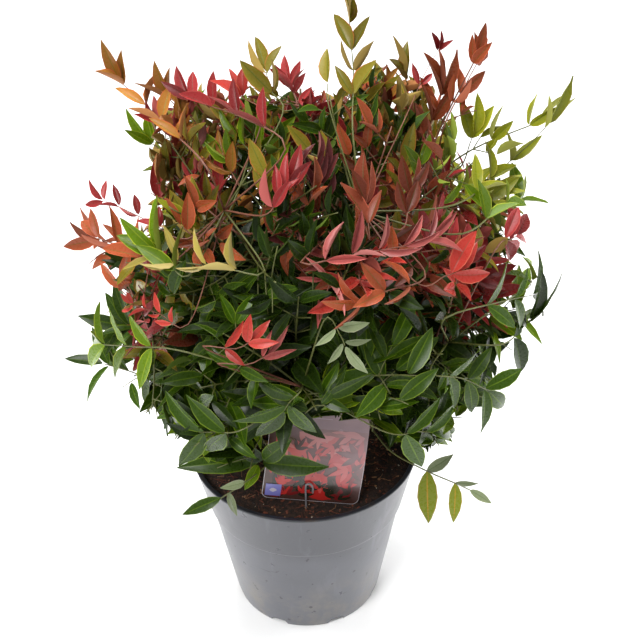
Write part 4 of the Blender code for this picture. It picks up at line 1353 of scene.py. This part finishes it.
def make_foliage(sizes):
    """Grows every spray, mass and cane frond, then joins the leaflets by tint."""
    limbs, masses = plan_limbs()
    hearts = [tuple(heart) for name, heart, carrier, rise in masses]
    crown = Crown(sizes)
    sprigs = [(polar(math.radians(b), d, h), tint) for b, d, h, tint in SPRIGS]
    open_space = OwnSpace([(0.0, 0.0, CROWN_MIDDLE.z)], 0, limbs, 0.0)
    roots = []
    for name, heart, carrier, rise in masses:
        line = stem_line(limbs[carrier], heart, rise)
        roots += [line[2].lerp(line[3], step / 4.0) for step in range(5)]
    for spray in RIM_SPRAYS:
        hang_spray(crown, spray)
    chance = random.Random(SPRAY_SEED)
    for spray in SPRAYS:
        grow_spray(crown, open_space, chance, roots, spray)
    for index, mass in enumerate(masses):
        own = [
            (tip, tint)
            for tip, tint in sprigs
            if min(hearts, key=lambda h: (Vector(h) - tip).length) == hearts[index]
        ]
        space = OwnSpace(hearts, index, limbs, sizes.cell_overlap)
        grow_mass(crown, mass, limbs[mass[2]], space, own)
    for name, (points, _) in limbs.items():
        if name.startswith("cane"):
            grow_cane_fronds(crown, open_space, name, points)
    names = [mass[0] for mass in masses]
    for tint in TINTS:
        leaves = [leaf for leaf in crown.leaves if leaf["tint"] == tint]
        if not leaves:
            continue
        paints = tint_paints(tint)
        for part, start in enumerate(range(0, len(leaves), LEAVES_IN_PIECE)):
            name = f"leaves_{tint}_{part + 1}"
            mesh = leaf_mesh(name, leaves[start : start + LEAVES_IN_PIECE], paints)
            add_piece(name, mesh, names)
            names = []
    make_stalks(crown)


def stalk_kind(tint):
    """Which of the joined stalks a sprig's stalk goes into."""
    if tint == "bark":
        return tint
    return "red" if tint in RED_TINTS else "green"


def make_stalks(crown):
    """The stalks joined by kind, as thin tubes with streaks along them."""
    for kind, colour in STALK_PAINTS.items():
        tone = linear(colour)
        paint = Paint(f"stalk_{kind}", tone, 0.5)
        streaks = paint.noise(1.0, 3.0, vector=paint.stretched((900.0, 900.0, 160.0)))
        paint.drive("Base Color", paint.ramp(streaks, ((0.35, toned(tone, 0.55)), (0.65, tone))))
        paint.bump(streaks, 0.0002, 0.5)
        places, faces, start = [], [], 0
        for line, widths, tint in crown.stalks:
            if stalk_kind(tint) != kind:
                continue
            radii = spread_over(widths, len(line))
            block, quads = tube_arrays(line, radii, STEM_SIDES if kind == "bark" else STALK_SIDES)
            places.append(block)
            faces.append(quads + start)
            start += len(block)
        name = f"stalks_{kind}"
        mesh = mesh_from_tubes(name, np.concatenate(places), np.concatenate(faces), paint.material)
        add_piece(name, mesh)


# Canes and boughs

CANE_YOUNG = (112, 92, 52)
BOUGH_BROWN = (124, 98, 58)
BOUGH_YOUNG = (110, 112, 54)
BARK_RING_SPACING = 0.024
BARK_RING_WIDTH = 0.0011
BARK_RING_RISE = 0.12


def bark_paint(name, colour, green):
    """Furrowed bark, browner at the foot and greener where it is young."""
    paint = Paint(name, colour, 0.75)
    furrows = paint.noise(1.0, 5.0, vector=paint.stretched((520.0, 520.0, 46.0)))
    patches = paint.noise(70.0, 3.0)
    stops = ((0.34, toned(colour, 0.35)), (0.52, colour), (0.74, toned(colour, 1.7)))
    young = paint.spread(paint.part("Z"), start=0.19, end=0.36)
    amount = paint.math("MULTIPLY", young, paint.spread(patches, 0.2, 1.0))
    paint.drive("Base Color", paint.mix(amount, paint.ramp(furrows, stops), green))
    paint.drive("Roughness", paint.spread(patches, 0.6, 0.85))
    paint.bump(furrows, 0.0006, 0.8)
    return paint.material


def make_limbs(colours):
    """Canes with furrowed, ringed bark and smoother boughs, each replacing its solid."""
    limbs, _ = plan_limbs()
    bark = bark_paint("cane_bark", tuple(colours.bark), linear(CANE_YOUNG))
    stalk = bark_paint("bough_bark", linear(BOUGH_BROWN), linear(BOUGH_YOUNG))
    for name, (points, radii) in limbs.items():
        is_cane = name.startswith("cane")
        steps, sides, depth = (14, 14, 0.10) if is_cane else (6, 9, 0.05)
        line = smoothed(points, steps)
        widths = np.interp(np.arange(len(line)) / steps, np.arange(len(radii)), radii)

        def relief(index, angle, point, depth=depth, seed=len(name) * 3.1):
            from_ring = point.z % BARK_RING_SPACING - BARK_RING_SPACING / 2.0
            ring = math.exp(-(from_ring / BARK_RING_WIDTH) ** 2)
            where = Vector((2.2 * math.cos(angle), 2.2 * math.sin(angle), point.z * 60.0 + seed))
            return 0.97 + depth * noise.noise(where) + BARK_RING_RISE * ring

        places, faces = tube_arrays(line, widths, sides, relief)
        mesh = mesh_from_tubes(name + "_bark", places, faces, bark if is_cane else stalk)
        add_piece(name + "_bark", mesh, (name,))


# Pot

DRIED_PEAT = (0.21, 0.185, 0.145)
SPECK = (0.024, 0.023, 0.027)
SCRATCH = (0.035, 0.035, 0.045)
INNER_DUST = (0.045, 0.028, 0.018)
PEAT_DARK = (0.006, 0.0035, 0.003)
PEAT_RED = (0.060, 0.026, 0.014)
PEAT_TAN = (0.120, 0.060, 0.034)


def wall_radius(height):
    """Radius of the pot's outside at a height."""
    if height >= BAND_FOOT_HEIGHT:
        share = (height - BAND_FOOT_HEIGHT) / (POT_HEIGHT - BAND_FOOT_HEIGHT)
        return BAND_FOOT_RADIUS + share * (RIM_RADIUS - BAND_FOOT_RADIUS)
    share = height / BODY_TOP_HEIGHT
    return BASE_RADIUS + share * (BODY_TOP_RADIUS - BASE_RADIUS)


def pot_profile():
    """Rows of the pot as (radius, height, look, notched), down its outside and up its inside."""
    edge = POT_EDGE
    outer = []
    for share in (0.0, 0.3, 0.6, 1.0):
        angle = math.pi / 2.0 * share
        across, up = edge * math.sin(angle), edge * math.cos(angle)
        outer.append((RIM_RADIUS - edge + across, POT_HEIGHT - edge + up, 1, 0))
    outer.append((wall_radius(POT_HEIGHT - 0.0024), POT_HEIGHT - 0.0024, 1, 0))
    outer += [(wall_radius(height), height, 0, 0) for height in OUTER_BAND_HEIGHTS]
    outer += [
        (BAND_FOOT_RADIUS, BAND_FOOT_HEIGHT + 0.0002, 0, 0),
        (BAND_FOOT_RADIUS - 0.0003, BAND_FOOT_HEIGHT - 0.0004, 0, 0),
        (BODY_TOP_RADIUS + 0.0002, BODY_TOP_HEIGHT + 0.0001, 0, 0),
    ]
    outer += [(wall_radius(height), height, 0, 0) for height in OUTER_BODY_HEIGHTS]
    outer += [
        (BASE_RADIUS, edge, 0, 1),
        (BASE_RADIUS - edge * 0.4, edge * 0.3, 0, 1),
        (BASE_RADIUS - edge * 1.4, 0.0, 0, 1),
        (BASE_RADIUS - 0.0048, 0.0, 0, 1),
        (BASE_RADIUS - 0.0052, 0.0, 0, 2),
        (POT_HUB, 0.0, 0, 0),
    ]
    inner = [(POT_HUB, POT_FLOOR, 1, 0)]
    inner += [(wall_radius(height) - POT_WALL, height, 1, 0) for height in INNER_HEIGHTS]
    inner += [
        (RIM_RADIUS - LIP_WIDTH, POT_HEIGHT - edge, 1, 0),
        (RIM_RADIUS - LIP_WIDTH + 0.0003, POT_HEIGHT - 0.0003, 1, 0),
        (RIM_RADIUS - LIP_WIDTH + edge, POT_HEIGHT, 1, 0),
    ]
    return outer, inner


def join_rings(body, upper, lower, look):
    """Faces between two rings of corners."""
    for step in range(POT_STEPS):
        near = (step + 1) % POT_STEPS
        face = body.faces.new((upper[step], upper[near], lower[near], lower[step]))
        face.material_index = look


def make_pot(colours):
    """The nursery pot with its black inside and lip, stepped band and drain notches."""
    grey = pot_grey_paint(tuple(colours.pot_grey))
    black = pot_black_paint(tuple(colours.pot_black))
    outer, inner = pot_profile()
    body = bmesh.new()
    rings = []
    for radius, height, _, notched in outer + inner:
        ring = []
        for step in range(POT_STEPS):
            bearing = 2.0 * math.pi * step / POT_STEPS
            slot = (bearing / (2.0 * math.pi) * DRAIN_COUNT - 0.5) % 1.0
            slot = min(slot, 1.0 - slot) * 2.0 * math.pi * BASE_RADIUS / DRAIN_COUNT
            lift = DRAIN_HEIGHT if notched == 1 and slot < DRAIN_WIDTH / 2.0 else 0.0
            ring.append(body.verts.new(polar(bearing, radius, max(height, lift))))
        rings.append(ring)
    looks = [row[2] for row in outer + inner]
    for index in range(len(rings) - 1):
        if index != len(outer) - 1:
            look = min(looks[index], looks[index + 1])
            join_rings(body, rings[index], rings[index + 1], look)
    join_rings(body, rings[-1], rings[0], 1)
    body.faces.new(rings[len(outer) - 1])
    floor = body.faces.new(rings[len(outer)])
    floor.material_index = 1
    bmesh.ops.recalc_face_normals(body, faces=body.faces)
    mesh = mesh_from_bmesh("pot_shell", body, (grey, black))
    add_piece("pot_shell", mesh, ("pot",))
    mesh.set_sharp_from_angle(angle=math.radians(35.0))


def pot_grey_paint(colour):
    """Moulded grey plastic with cloudiness, rubbed streaks, specks and dried peat near the foot,
    painted light paling the foot and painted shade darkening the band.
    """
    paint = Paint("pot_grey", colour, 0.32, Specular_IOR_Level=0.6)
    stops = ((0.3, toned(colour, 0.84)), (0.7, toned(colour, 1.16)))
    tone = paint.ramp(paint.noise(15.0, 5.0, 0.6), stops)
    height = paint.part("Z")
    # Painted light: the grey pales towards the foot, where light from the pale floor falls
    foot = paint.spread(height, 0.0, 0.5, 0.105, 0.0)
    tone = paint.mix(foot, tone, toned(colour, 1.35))
    # Painted shade: the grey darkens from just below the band's step upward, over the whole band
    band = paint.spread(height, start=BODY_TOP_HEIGHT - 0.012, end=BAND_FOOT_HEIGHT + 0.004)
    tone = paint.mix(band, tone, toned(colour, 0.76))
    rubbed = paint.noise(1.0, 4.0, vector=paint.stretched((70.0, 70.0, 9.0)), distortion=0.6)
    tone = paint.mix(paint.spread(rubbed, 0.0, 0.45, 0.58, 0.75), tone, toned(colour, 1.7))
    low = paint.spread(height, 0.0, 0.8, 0.075, 0.0)
    blots = paint.spread(paint.noise(30.0, 6.0, 0.7), start=0.47, end=0.66)
    tone = paint.mix(paint.math("MULTIPLY", low, blots), tone, DRIED_PEAT)
    specks = paint.spread(paint.noise(150.0, 2.0, 0.4), 0.0, 0.8, 0.715, 0.735)
    tone = paint.mix(specks, tone, SPECK)
    scratch = paint.noise(1.0, 2.0, vector=paint.stretched((34.0, 34.0, 260.0)), distortion=1.5)
    tone = paint.mix(paint.spread(scratch, start=0.735, end=0.76), tone, SCRATCH)
    paint.drive("Base Color", tone)
    paint.drive("Roughness", paint.spread(paint.noise(60.0, 5.0), 0.22, 0.40))
    paint.bump(paint.noise(210.0, 3.0), 0.0002, 0.35)
    return paint.material


def pot_black_paint(colour):
    """Matt black inside with a dusty bloom of dried peat."""
    paint = Paint("pot_black", colour, 0.42)
    dust = paint.noise(90.0, 6.0, 0.7)
    paint.drive("Base Color", paint.ramp(dust, ((0.52, colour), (0.78, INNER_DUST))))
    paint.drive("Roughness", paint.spread(dust, 0.34, 0.6))
    paint.bump(dust, 0.0002, 0.3)
    return paint.material


# Soil


SOIL_RINGS = 46
SOIL_STEPS = 150


def soil_height(x, y):
    """Height of the peat's rough top at a place."""
    place = Vector((x * 60.0, y * 60.0, 3.0))
    coarse = noise.noise(place) * 0.0016
    fine = noise.noise(place * 3.3) * 0.0010 + noise.noise(place * 9.0) * 0.0005
    return SOIL_TOP + coarse + fine


def make_soil(colours):
    """Damp peat with a rough top, and loose bark chips, fibres and pale flecks on it."""
    paint = Paint("peat", tuple(colours.peat), 0.9)
    crumbs = paint.noise(260.0, 6.0, 0.7)
    peat = tuple(colours.peat)
    stops = ((0.30, PEAT_DARK), (0.50, peat), (0.66, PEAT_RED), (0.80, PEAT_TAN))
    paint.drive("Base Color", paint.ramp(crumbs, stops))
    paint.bump(crumbs, 0.0016, 1.0)
    edge = wall_radius(SOIL_TOP) - POT_WALL - 0.0004
    body = bmesh.new()
    rows = [[body.verts.new((0.0, 0.0, soil_height(0.0, 0.0)))]]
    for ring in range(1, SOIL_RINGS + 1):
        row = []
        for step in range(SOIL_STEPS):
            bearing = 2.0 * math.pi * step / SOIL_STEPS
            place = polar(bearing, edge * ring / SOIL_RINGS, 0.0)
            place.z = soil_height(place.x, place.y)
            row.append(body.verts.new(place))
        rows.append(row)
    skirt = []
    for step in range(SOIL_STEPS):
        bearing = 2.0 * math.pi * step / SOIL_STEPS
        skirt.append(body.verts.new(polar(bearing, edge - 0.001, SOIL_TOP - 0.012)))
    rows.append(skirt)
    for low, high in zip(rows, rows[1:]):
        for step in range(SOIL_STEPS):
            near = (step + 1) % SOIL_STEPS
            if len(low) == 1:
                body.faces.new((low[0], high[step], high[near]))
            else:
                body.faces.new((low[step], high[step], high[near], low[near]))
    body.faces.new(list(reversed(skirt)))
    mesh = mesh_from_bmesh("peat_top", body, (paint.material,))
    add_piece("peat_top", mesh, ("soil",))
    make_chips(edge)


CHIP_COLOURS = (
    ("chip_black", (26, 17, 14)), ("chip_brown", (62, 36, 24)), ("chip_red", (104, 54, 36)),
    ("chip_tan", (140, 100, 70)), ("fleck_pale", (196, 186, 168)),
)
CHIP_CHANCES = (5, 6, 3, 1.2, 0.5)
CHIP_RED, CHIP_TAN, FLECK_PALE = 2, 3, 4
CHIP_COUNT = 2600
CHIP_SEED = 31
FIBRE_COUNT = 260
FIBRE_RADIUS = 0.00022


def scattered(chance, reach):
    """A place on the peat, evenly strewn out to a reach from the middle."""
    bearing = chance.uniform(0, 2 * math.pi)
    return polar(bearing, reach * math.sqrt(chance.random()), 0.0)


def make_chips(edge):
    """Loose bark chips, pale flecks and fibres strewn over the peat."""
    chance = random.Random(CHIP_SEED)
    paints = []
    for name, colour in CHIP_COLOURS:
        paint = Paint(name, linear(colour), 0.85)
        paint.bump(paint.noise(500.0, 3.0), 0.0004, 0.8)
        paints.append(paint.material)
    body = bmesh.new()
    for number in range(CHIP_COUNT):
        place = scattered(chance, edge - 0.004)
        look = chance.choices(range(len(CHIP_COLOURS)), CHIP_CHANCES)[0]
        size = chance.uniform(0.0008, 0.0030) * (0.6 if look == FLECK_PALE else 1.0)
        place.z = soil_height(place.x, place.y) + size * 0.12
        turn = Matrix.Rotation(chance.uniform(0, 6.28), 4, "Z")
        tilt = Matrix.Rotation(chance.uniform(-0.5, 0.5), 4, "X")
        scale = Matrix.Diagonal((size * chance.uniform(0.9, 1.9), size * 0.8, size * 0.4, 1.0))
        made = bmesh.ops.create_icosphere(
            body, subdivisions=1, radius=0.5,
            matrix=Matrix.Translation(place) @ turn @ tilt @ scale,
        )
        for vertex in made["verts"]:
            vertex.co += Vector([chance.uniform(-0.12, 0.12) * size for axis in range(3)])
            for face in vertex.link_faces:
                face.material_index = look
    for number in range(FIBRE_COUNT):
        place = scattered(chance, edge - 0.012)
        heading = chance.uniform(0, 2 * math.pi)
        length = chance.uniform(0.004, 0.012)
        line = []
        for step in range(5):
            heading += chance.uniform(-0.5, 0.5)
            place = place + Vector((math.cos(heading), math.sin(heading), 0.0)) * (length / 4)
            ground = soil_height(place.x, place.y) + 0.0006 + chance.uniform(0.0, 0.0009)
            line.append(Vector((place.x, place.y, ground)))
        places, faces = tube_arrays(line, [FIBRE_RADIUS] * len(line), 4)
        verts = [body.verts.new(p) for p in places]
        for face in faces.tolist():
            made = body.faces.new([verts[i] for i in dict.fromkeys(face)])
            made.material_index = CHIP_RED if number % 3 else CHIP_TAN
    mesh = mesh_from_bmesh("peat_chips", body, paints)
    add_piece("peat_chips", mesh, smooth=False)


# Label


def label_place(across, up, lift=0.0):
    """Place on the label: across and up from 0 to 1, and lift in front of its middle plane."""
    radius = LABEL_HEIGHT / LABEL_BEND
    angle = up * LABEL_BEND
    back = radius * (1.0 - math.cos(angle)) - lift * math.cos(angle)
    height = radius * math.sin(angle) + lift * math.sin(angle)
    turn = Matrix.Rotation(LABEL_YAW, 4, "Z") @ Matrix.Rotation(-LABEL_ROLL, 4, "Y")
    local = Vector(((across - 0.5) * LABEL_WIDTH, back, height))
    return LABEL_FOOT + turn.to_3x3() @ local


def rounded_outline(steps=8, corner=0.07):
    """Outline of the card with its rounded corners, from 0 to 1 both ways."""
    near, far = corner, 1 - corner
    points = []
    for x, y, start in ((far, near, -90), (far, far, 0), (near, far, 90), (near, near, 180)):
        for step in range(steps + 1):
            angle = math.radians(start + 90 * step / steps)
            points.append((x + corner * math.cos(angle), y + corner * math.sin(angle)))
    return points


def add_patch(body, outline, lift, look, cuts=()):
    """A flat printed shape on the label, cut in rows so that it follows the bend."""
    flat = bmesh.new()
    verts = [flat.verts.new((x, y, 0.0)) for x, y in outline]
    flat.faces.new(verts)
    for cut in cuts:
        bmesh.ops.bisect_plane(
            flat, geom=flat.verts[:] + flat.edges[:] + flat.faces[:],
            plane_co=(0, cut, 0), plane_no=(0, 1, 0),
        )
    flat.faces.ensure_lookup_table()
    copies = {v: body.verts.new(label_place(v.co.x, v.co.y, lift)) for v in flat.verts}
    for face in flat.faces:
        made = body.faces.new([copies[v] for v in face.verts])
        made.material_index = look
    flat.free()


PETAL_OUTLINE = (
    (0.0, 0.0), (0.25, 0.8), (0.5, 1.0), (0.78, 0.6),
    (1.0, 0.0), (0.78, -0.6), (0.5, -1.0), (0.25, -0.8),
)


def petal(x, y, length, width, angle):
    """Outline of a pointed oval from its root."""
    points = []
    for share, half in PETAL_OUTLINE:
        along, side = share * length, half * width / 2.0
        points.append((
            x + along * math.cos(angle) - side * math.sin(angle),
            y + along * math.sin(angle) + side * math.cos(angle),
        ))
    return points


# Colours of the card and its print; the dull rose among them is red print paled by painted glare
LABEL_COLOURS = (
    ("label_edge", (190, 184, 190)), ("label_ground", (70, 46, 40)),
    ("label_band", (104, 94, 106)), ("label_red", (176, 40, 36)), ("label_rose", (190, 76, 72)),
    ("label_pink", (196, 116, 112)), ("label_square", (112, 110, 176)),
    ("label_deep", (36, 36, 24)), ("label_line", (178, 172, 184)), ("label_glared_red", (130, 84, 78)),
    ("label_wine", (110, 26, 28)),
)
EDGE, GROUND, BAND, RED, ROSE, PINK, SQUARE, DEEP, LINE, GLARED_RED, WINE = range(len(LABEL_COLOURS))
LABEL_BAND_FOOT = 0.80
PRINTED_LEAVES = 105
LABEL_SEED = 5
PRINT_LIFT = 0.00003
# Pale tone of the painted glare on the label
LABEL_GLARE = (198, 168, 174)


def label_paint(name, colour):
    """A glossy print with a painted glare that pales it towards the card's upper right."""
    paint = Paint(name, linear(colour), 0.24, Specular_IOR_Level=0.5, Coat_Weight=0.3)
    # Painted glare: each colour is mixed with the pale tone, more towards the top and right, in
    # clouds
    rise = 0.95 / LABEL_HEIGHT
    foot = -0.95 * LABEL_FOOT.z / LABEL_HEIGHT
    up = paint.math("MULTIPLY_ADD", paint.part("Z"), rise, foot)
    climb = paint.math("MULTIPLY_ADD", paint.part("X"), 0.8 / LABEL_WIDTH, up)
    cloud = paint.math("MULTIPLY_ADD", paint.noise(45.0, 3.0), 0.5, climb)
    glare = paint.spread(cloud, 0.0, 0.68, 0.58, 1.40)
    paint.drive("Base Color", paint.mix(glare, linear(colour), linear(LABEL_GLARE)))
    paint.drive("Roughness", paint.spread(paint.noise(40.0, 3.0), 0.18, 0.32))
    paint.bump(paint.noise(90.0, 2.0), 0.0002, 0.2)
    return paint.material


def foot_outline(outline, top):
    """The part of an outline below a height, closed by a straight top edge."""
    right = [(x, y) for x, y in outline if y < top and x > 0.5]
    left = [(x, y) for x, y in outline if y < top and x < 0.5]
    return left + right + [(max(outline)[0], top), (min(outline)[0], top)]


def print_leaves(body, half, rows):
    """A generic print of pointed leaves in threes: red below, paler and rosier above, where painted
    glare pales the print.
    """
    chance = random.Random(LABEL_SEED)
    for number in range(PRINTED_LEAVES):
        x, y = chance.uniform(0.02, 0.98), chance.uniform(0.02, LABEL_BAND_FOOT - 0.02)
        # Higher rows take paler tones: painted glare over the upper part of the print
        if y < 0.38:
            look = chance.choices((RED, WINE, DEEP, ROSE), (4, 3, 4, 1))[0]
        elif y < 0.6:
            look = chance.choices((RED, ROSE, DEEP, GLARED_RED), (3, 4, 2, 2))[0]
        else:
            look = chance.choices((ROSE, PINK, GLARED_RED), (3, 4, 3))[0]
        start = chance.uniform(0.0, 2.0 * math.pi)
        size = chance.uniform(0.13, 0.25)
        for blade in range(3):
            angle = start + 0.75 * (blade - 1)
            length = size * (1.0 if blade == 1 else 0.78)
            tip = (x + length * math.cos(angle), y + length * math.sin(angle))
            if 0.015 < tip[0] < 0.985 and 0.015 < tip[1] < LABEL_BAND_FOOT - 0.01:
                lift = half + 0.00005 + 0.000001 * (3 * number + blade)
                add_patch(body, petal(x, y, length, size * 0.25, angle), lift, look, rows)


def make_label():
    """A card with a plain generic print of pointed leaves, and its rounded corners."""
    paints = [label_paint(name, colour) for name, colour in LABEL_COLOURS]
    body = bmesh.new()
    rows = [k / 12.0 for k in range(1, 12)]
    outline = rounded_outline()
    half = LABEL_THICKNESS / 2.0
    add_patch(body, outline, half, EDGE, rows)
    add_patch(body, outline[::-1], -half, EDGE, rows)
    count = len(outline)
    for index in range(count):
        (x1, y1), (x2, y2) = outline[index], outline[(index + 1) % count]
        steps = 12 if abs(y1 - y2) > 0.2 else 1
        for step in range(steps):
            a, b = step / steps, (step + 1) / steps
            corners = [
                (x1 + (x2 - x1) * t, y1 + (y2 - y1) * t, lift)
                for t, lift in ((a, half), (a, -half), (b, -half), (b, half))
            ]
            body.faces.new([body.verts.new(label_place(*corner)) for corner in corners])
    bmesh.ops.remove_doubles(body, verts=body.verts, dist=0.00002)
    inset = [(0.5 + (x - 0.5) * 0.99, 0.5 + (y - 0.5) * 0.99) for x, y in outline]
    band = LABEL_BAND_FOOT
    left, right = min(inset)[0], max(inset)[0]
    add_patch(body, foot_outline(inset, band), half + PRINT_LIFT, GROUND, rows)
    heading = [(right, band)] + [(x, y) for x, y in inset if y > band] + [(left, band)]
    add_patch(body, heading, half + PRINT_LIFT, BAND, rows)
    print_leaves(body, half, rows)
    square = [(0.03, 0.18), (0.03, 0.04), (0.19, 0.04), (0.19, 0.18)]
    add_patch(body, square, half + 0.0006, SQUARE, rows)
    add_patch(body, petal(0.07, 0.11, 0.08, 0.05, 0.0), half + 0.00062, LINE, rows)
    for foot, reach in ((0.90, 0.62), (0.855, 0.44)):
        strip = [(0.14, foot + 0.006), (0.14, foot), (reach, foot), (reach, foot + 0.006)]
        add_patch(body, strip, half + 0.0002, LINE, rows)
    card = [face for face in body.faces if face.material_index == EDGE]
    bmesh.ops.recalc_face_normals(body, faces=card)
    mesh = mesh_from_bmesh("label_card", body, paints)
    piece = add_piece("label_card", mesh, ("plant_label",), smooth=False)
    turn_forward(piece)
    make_peg()


def turn_forward(piece):
    """Turns the printed faces to look out of the front of the card."""
    body = bmesh.new()
    body.from_mesh(piece.data)
    for face in body.faces:
        if face.material_index and face.normal.y > 0.0:
            face.normal_flip()
    body.to_mesh(piece.data)
    body.free()


def make_peg():
    """A clear loop that pins the card, drawn as pale bright plastic."""
    paint = Paint("peg_clear", linear((120, 118, 122)), 0.15, Coat_Weight=0.5)
    paint.bump(paint.noise(300.0, 2.0), 0.0001, 0.2)
    front = LABEL_FOOT.y - LABEL_THICKNESS / 2.0 - GAP - PEG_RADIUS - 0.0001
    foot = Vector((LABEL_FOOT.x - 0.003, front, SOIL_TOP - 0.001))
    points = [
        foot, foot + UP * 0.024, foot + Vector((0.0015, 0.0, 0.0275)),
        foot + Vector((0.0045, 0.0, 0.0275)), foot + Vector((0.006, 0.0, 0.024)),
        foot + Vector((0.006, 0.0, 0.018)),
    ]
    line = smoothed(points, 6)
    places, faces = tube_arrays(line, [PEG_RADIUS * 0.8] * len(line), 10)
    mesh = mesh_from_tubes("peg_loop", places, faces, paint.material)
    add_piece("peg_loop", mesh, ("label_peg",))


# Studio

FLOOR_SIZE = 25.0
FLOOR_GAP = 0.0002
WORLD_STRENGTH = 0.56
LAMP_GOAL = (0.0, 0.0, 0.28)
LAMPS = (
    # name, place, what it is aimed at, size, power
    ("key", (-0.9, -1.4, 2.0), LAMP_GOAL, 0.9, 42.0),
    ("left", (-1.5, 0.3, 0.3), LAMP_GOAL, 0.9, 20.0),
    ("right", (1.5, 0.3, 0.3), LAMP_GOAL, 0.9, 30.0),
    ("top", (0.1, 0.3, 2.2), LAMP_GOAL, 1.3, 44.0),
    ("back", (0.0, 3.4, 2.6), (0.0, 3.2, 0.0), 2.5, 120.0),
)
GLINTING_LAMPS = ("key", "top")
LENS = 52.65
SENSOR_WIDTH = 36.0
CAMERA_PLACE = (0.0160, -0.6866, 0.7164)
CAMERA_PITCH = math.radians(31.2515)
CAMERA_ROLL = math.radians(0.8906)


def make_stage(colours):
    """A plain pale floor, soft studio light and the camera."""
    scene = bpy.context.scene
    body = bmesh.new()
    bmesh.ops.create_grid(body, x_segments=2, y_segments=2, size=FLOOR_SIZE)
    paint = Paint("studio_floor", tuple(colours.floor), 0.8)
    floor = bpy.data.objects.new("floor", mesh_from_bmesh("floor", body, (paint.material,)))
    floor.location.z = -FLOOR_GAP
    scene.collection.objects.link(floor)
    world = bpy.data.worlds.new("studio")
    world.use_nodes = True
    shade = world.node_tree.nodes["Background"]
    shade.inputs["Color"].default_value = (1.0, 1.0, 1.0, 1.0)
    shade.inputs["Strength"].default_value = WORLD_STRENGTH
    scene.world = world
    scene.view_settings.view_transform = "Standard"
    for name, place, goal, size, power in LAMPS:
        light = bpy.data.lights.new(name, "AREA")
        light.size = size
        light.energy = power
        lamp = bpy.data.objects.new(name, light)
        lamp.location = place
        lamp.visible_glossy = name in GLINTING_LAMPS
        aim = Vector(goal) - Vector(place)
        lamp.rotation_euler = aim.to_track_quat("-Z", "Y").to_euler()
        scene.collection.objects.link(lamp)
    lens = bpy.data.cameras.new("camera")
    lens.lens = LENS
    lens.sensor_width = SENSOR_WIDTH
    camera = bpy.data.objects.new("camera", lens)
    camera.matrix_world = (
        Matrix.Translation(CAMERA_PLACE)
        @ Matrix.Rotation(math.pi / 2.0 - CAMERA_PITCH, 4, "X")
        @ Matrix.Rotation(-CAMERA_ROLL, 4, "Z")
    )
    scene.collection.objects.link(camera)
    scene.camera = camera


# Operators and panel


class BAMBOO_OT_pot(bpy.types.Operator):
    """Turn the nursery pot"""

    bl_idname = "bamboo.make_pot"
    bl_label = "Pot"

    def execute(self, context):
        make_pot(context.scene.bamboo_colours)
        return {"FINISHED"}


class BAMBOO_OT_soil(bpy.types.Operator):
    """Fill the pot with peat, chips and fibres"""

    bl_idname = "bamboo.make_soil"
    bl_label = "Peat"

    def execute(self, context):
        make_soil(context.scene.bamboo_colours)
        return {"FINISHED"}


class BAMBOO_OT_label(bpy.types.Operator):
    """Print the plant label and pin it down"""

    bl_idname = "bamboo.make_label"
    bl_label = "Label"

    def execute(self, context):
        make_label()
        return {"FINISHED"}


class BAMBOO_OT_limbs(bpy.types.Operator):
    """Give the canes and boughs their bark"""

    bl_idname = "bamboo.make_limbs"
    bl_label = "Canes and boughs"

    def execute(self, context):
        make_limbs(context.scene.bamboo_colours)
        return {"FINISHED"}


class BAMBOO_OT_foliage(bpy.types.Operator):
    """Grow stalks and leaflets on from the limbs"""

    bl_idname = "bamboo.make_foliage"
    bl_label = "Foliage"

    def execute(self, context):
        make_foliage(context.scene.bamboo_sizes)
        return {"FINISHED"}


class BAMBOO_OT_stage(bpy.types.Operator):
    """Set the floor, lights and camera"""

    bl_idname = "bamboo.make_stage"
    bl_label = "Studio"

    def execute(self, context):
        make_stage(context.scene.bamboo_colours)
        return {"FINISHED"}


OPERATORS = (
    BAMBOO_OT_pot, BAMBOO_OT_soil, BAMBOO_OT_label, BAMBOO_OT_limbs, BAMBOO_OT_foliage,
    BAMBOO_OT_stage,
)


class BAMBOO_PT_panel(bpy.types.Panel):
    """Buttons for each piece, and the sizes and colours."""

    bl_label = "Potted heavenly bamboo"
    bl_idname = "BAMBOO_PT_panel"
    bl_space_type = "VIEW_3D"
    bl_region_type = "UI"
    bl_category = "Bamboo"

    def draw(self, context):
        column = self.layout.column(align=True)
        for operator in OPERATORS:
            column.operator(operator.bl_idname)
        for group in (context.scene.bamboo_sizes, context.scene.bamboo_colours):
            box = self.layout.box()
            for name in group.__annotations__:
                box.prop(group, name)


CLASSES = (BambooSizes, BambooColours, *OPERATORS, BAMBOO_PT_panel)


def register():
    """Adds the classes and the settings."""
    for item in CLASSES:
        bpy.utils.register_class(item)
    bpy.types.Scene.bamboo_sizes = PointerProperty(type=BambooSizes)
    bpy.types.Scene.bamboo_colours = PointerProperty(type=BambooColours)


def unregister():
    """Takes them away again."""
    del bpy.types.Scene.bamboo_colours
    del bpy.types.Scene.bamboo_sizes
    for item in reversed(CLASSES):
        bpy.utils.unregister_class(item)


def main():
    """Builds everything in order."""
    register()
    bpy.ops.bamboo.make_pot()
    bpy.ops.bamboo.make_soil()
    bpy.ops.bamboo.make_label()
    bpy.ops.bamboo.make_limbs()
    bpy.ops.bamboo.make_foliage()
    bpy.ops.bamboo.make_stage()


if __name__ == "__main__":
    main()
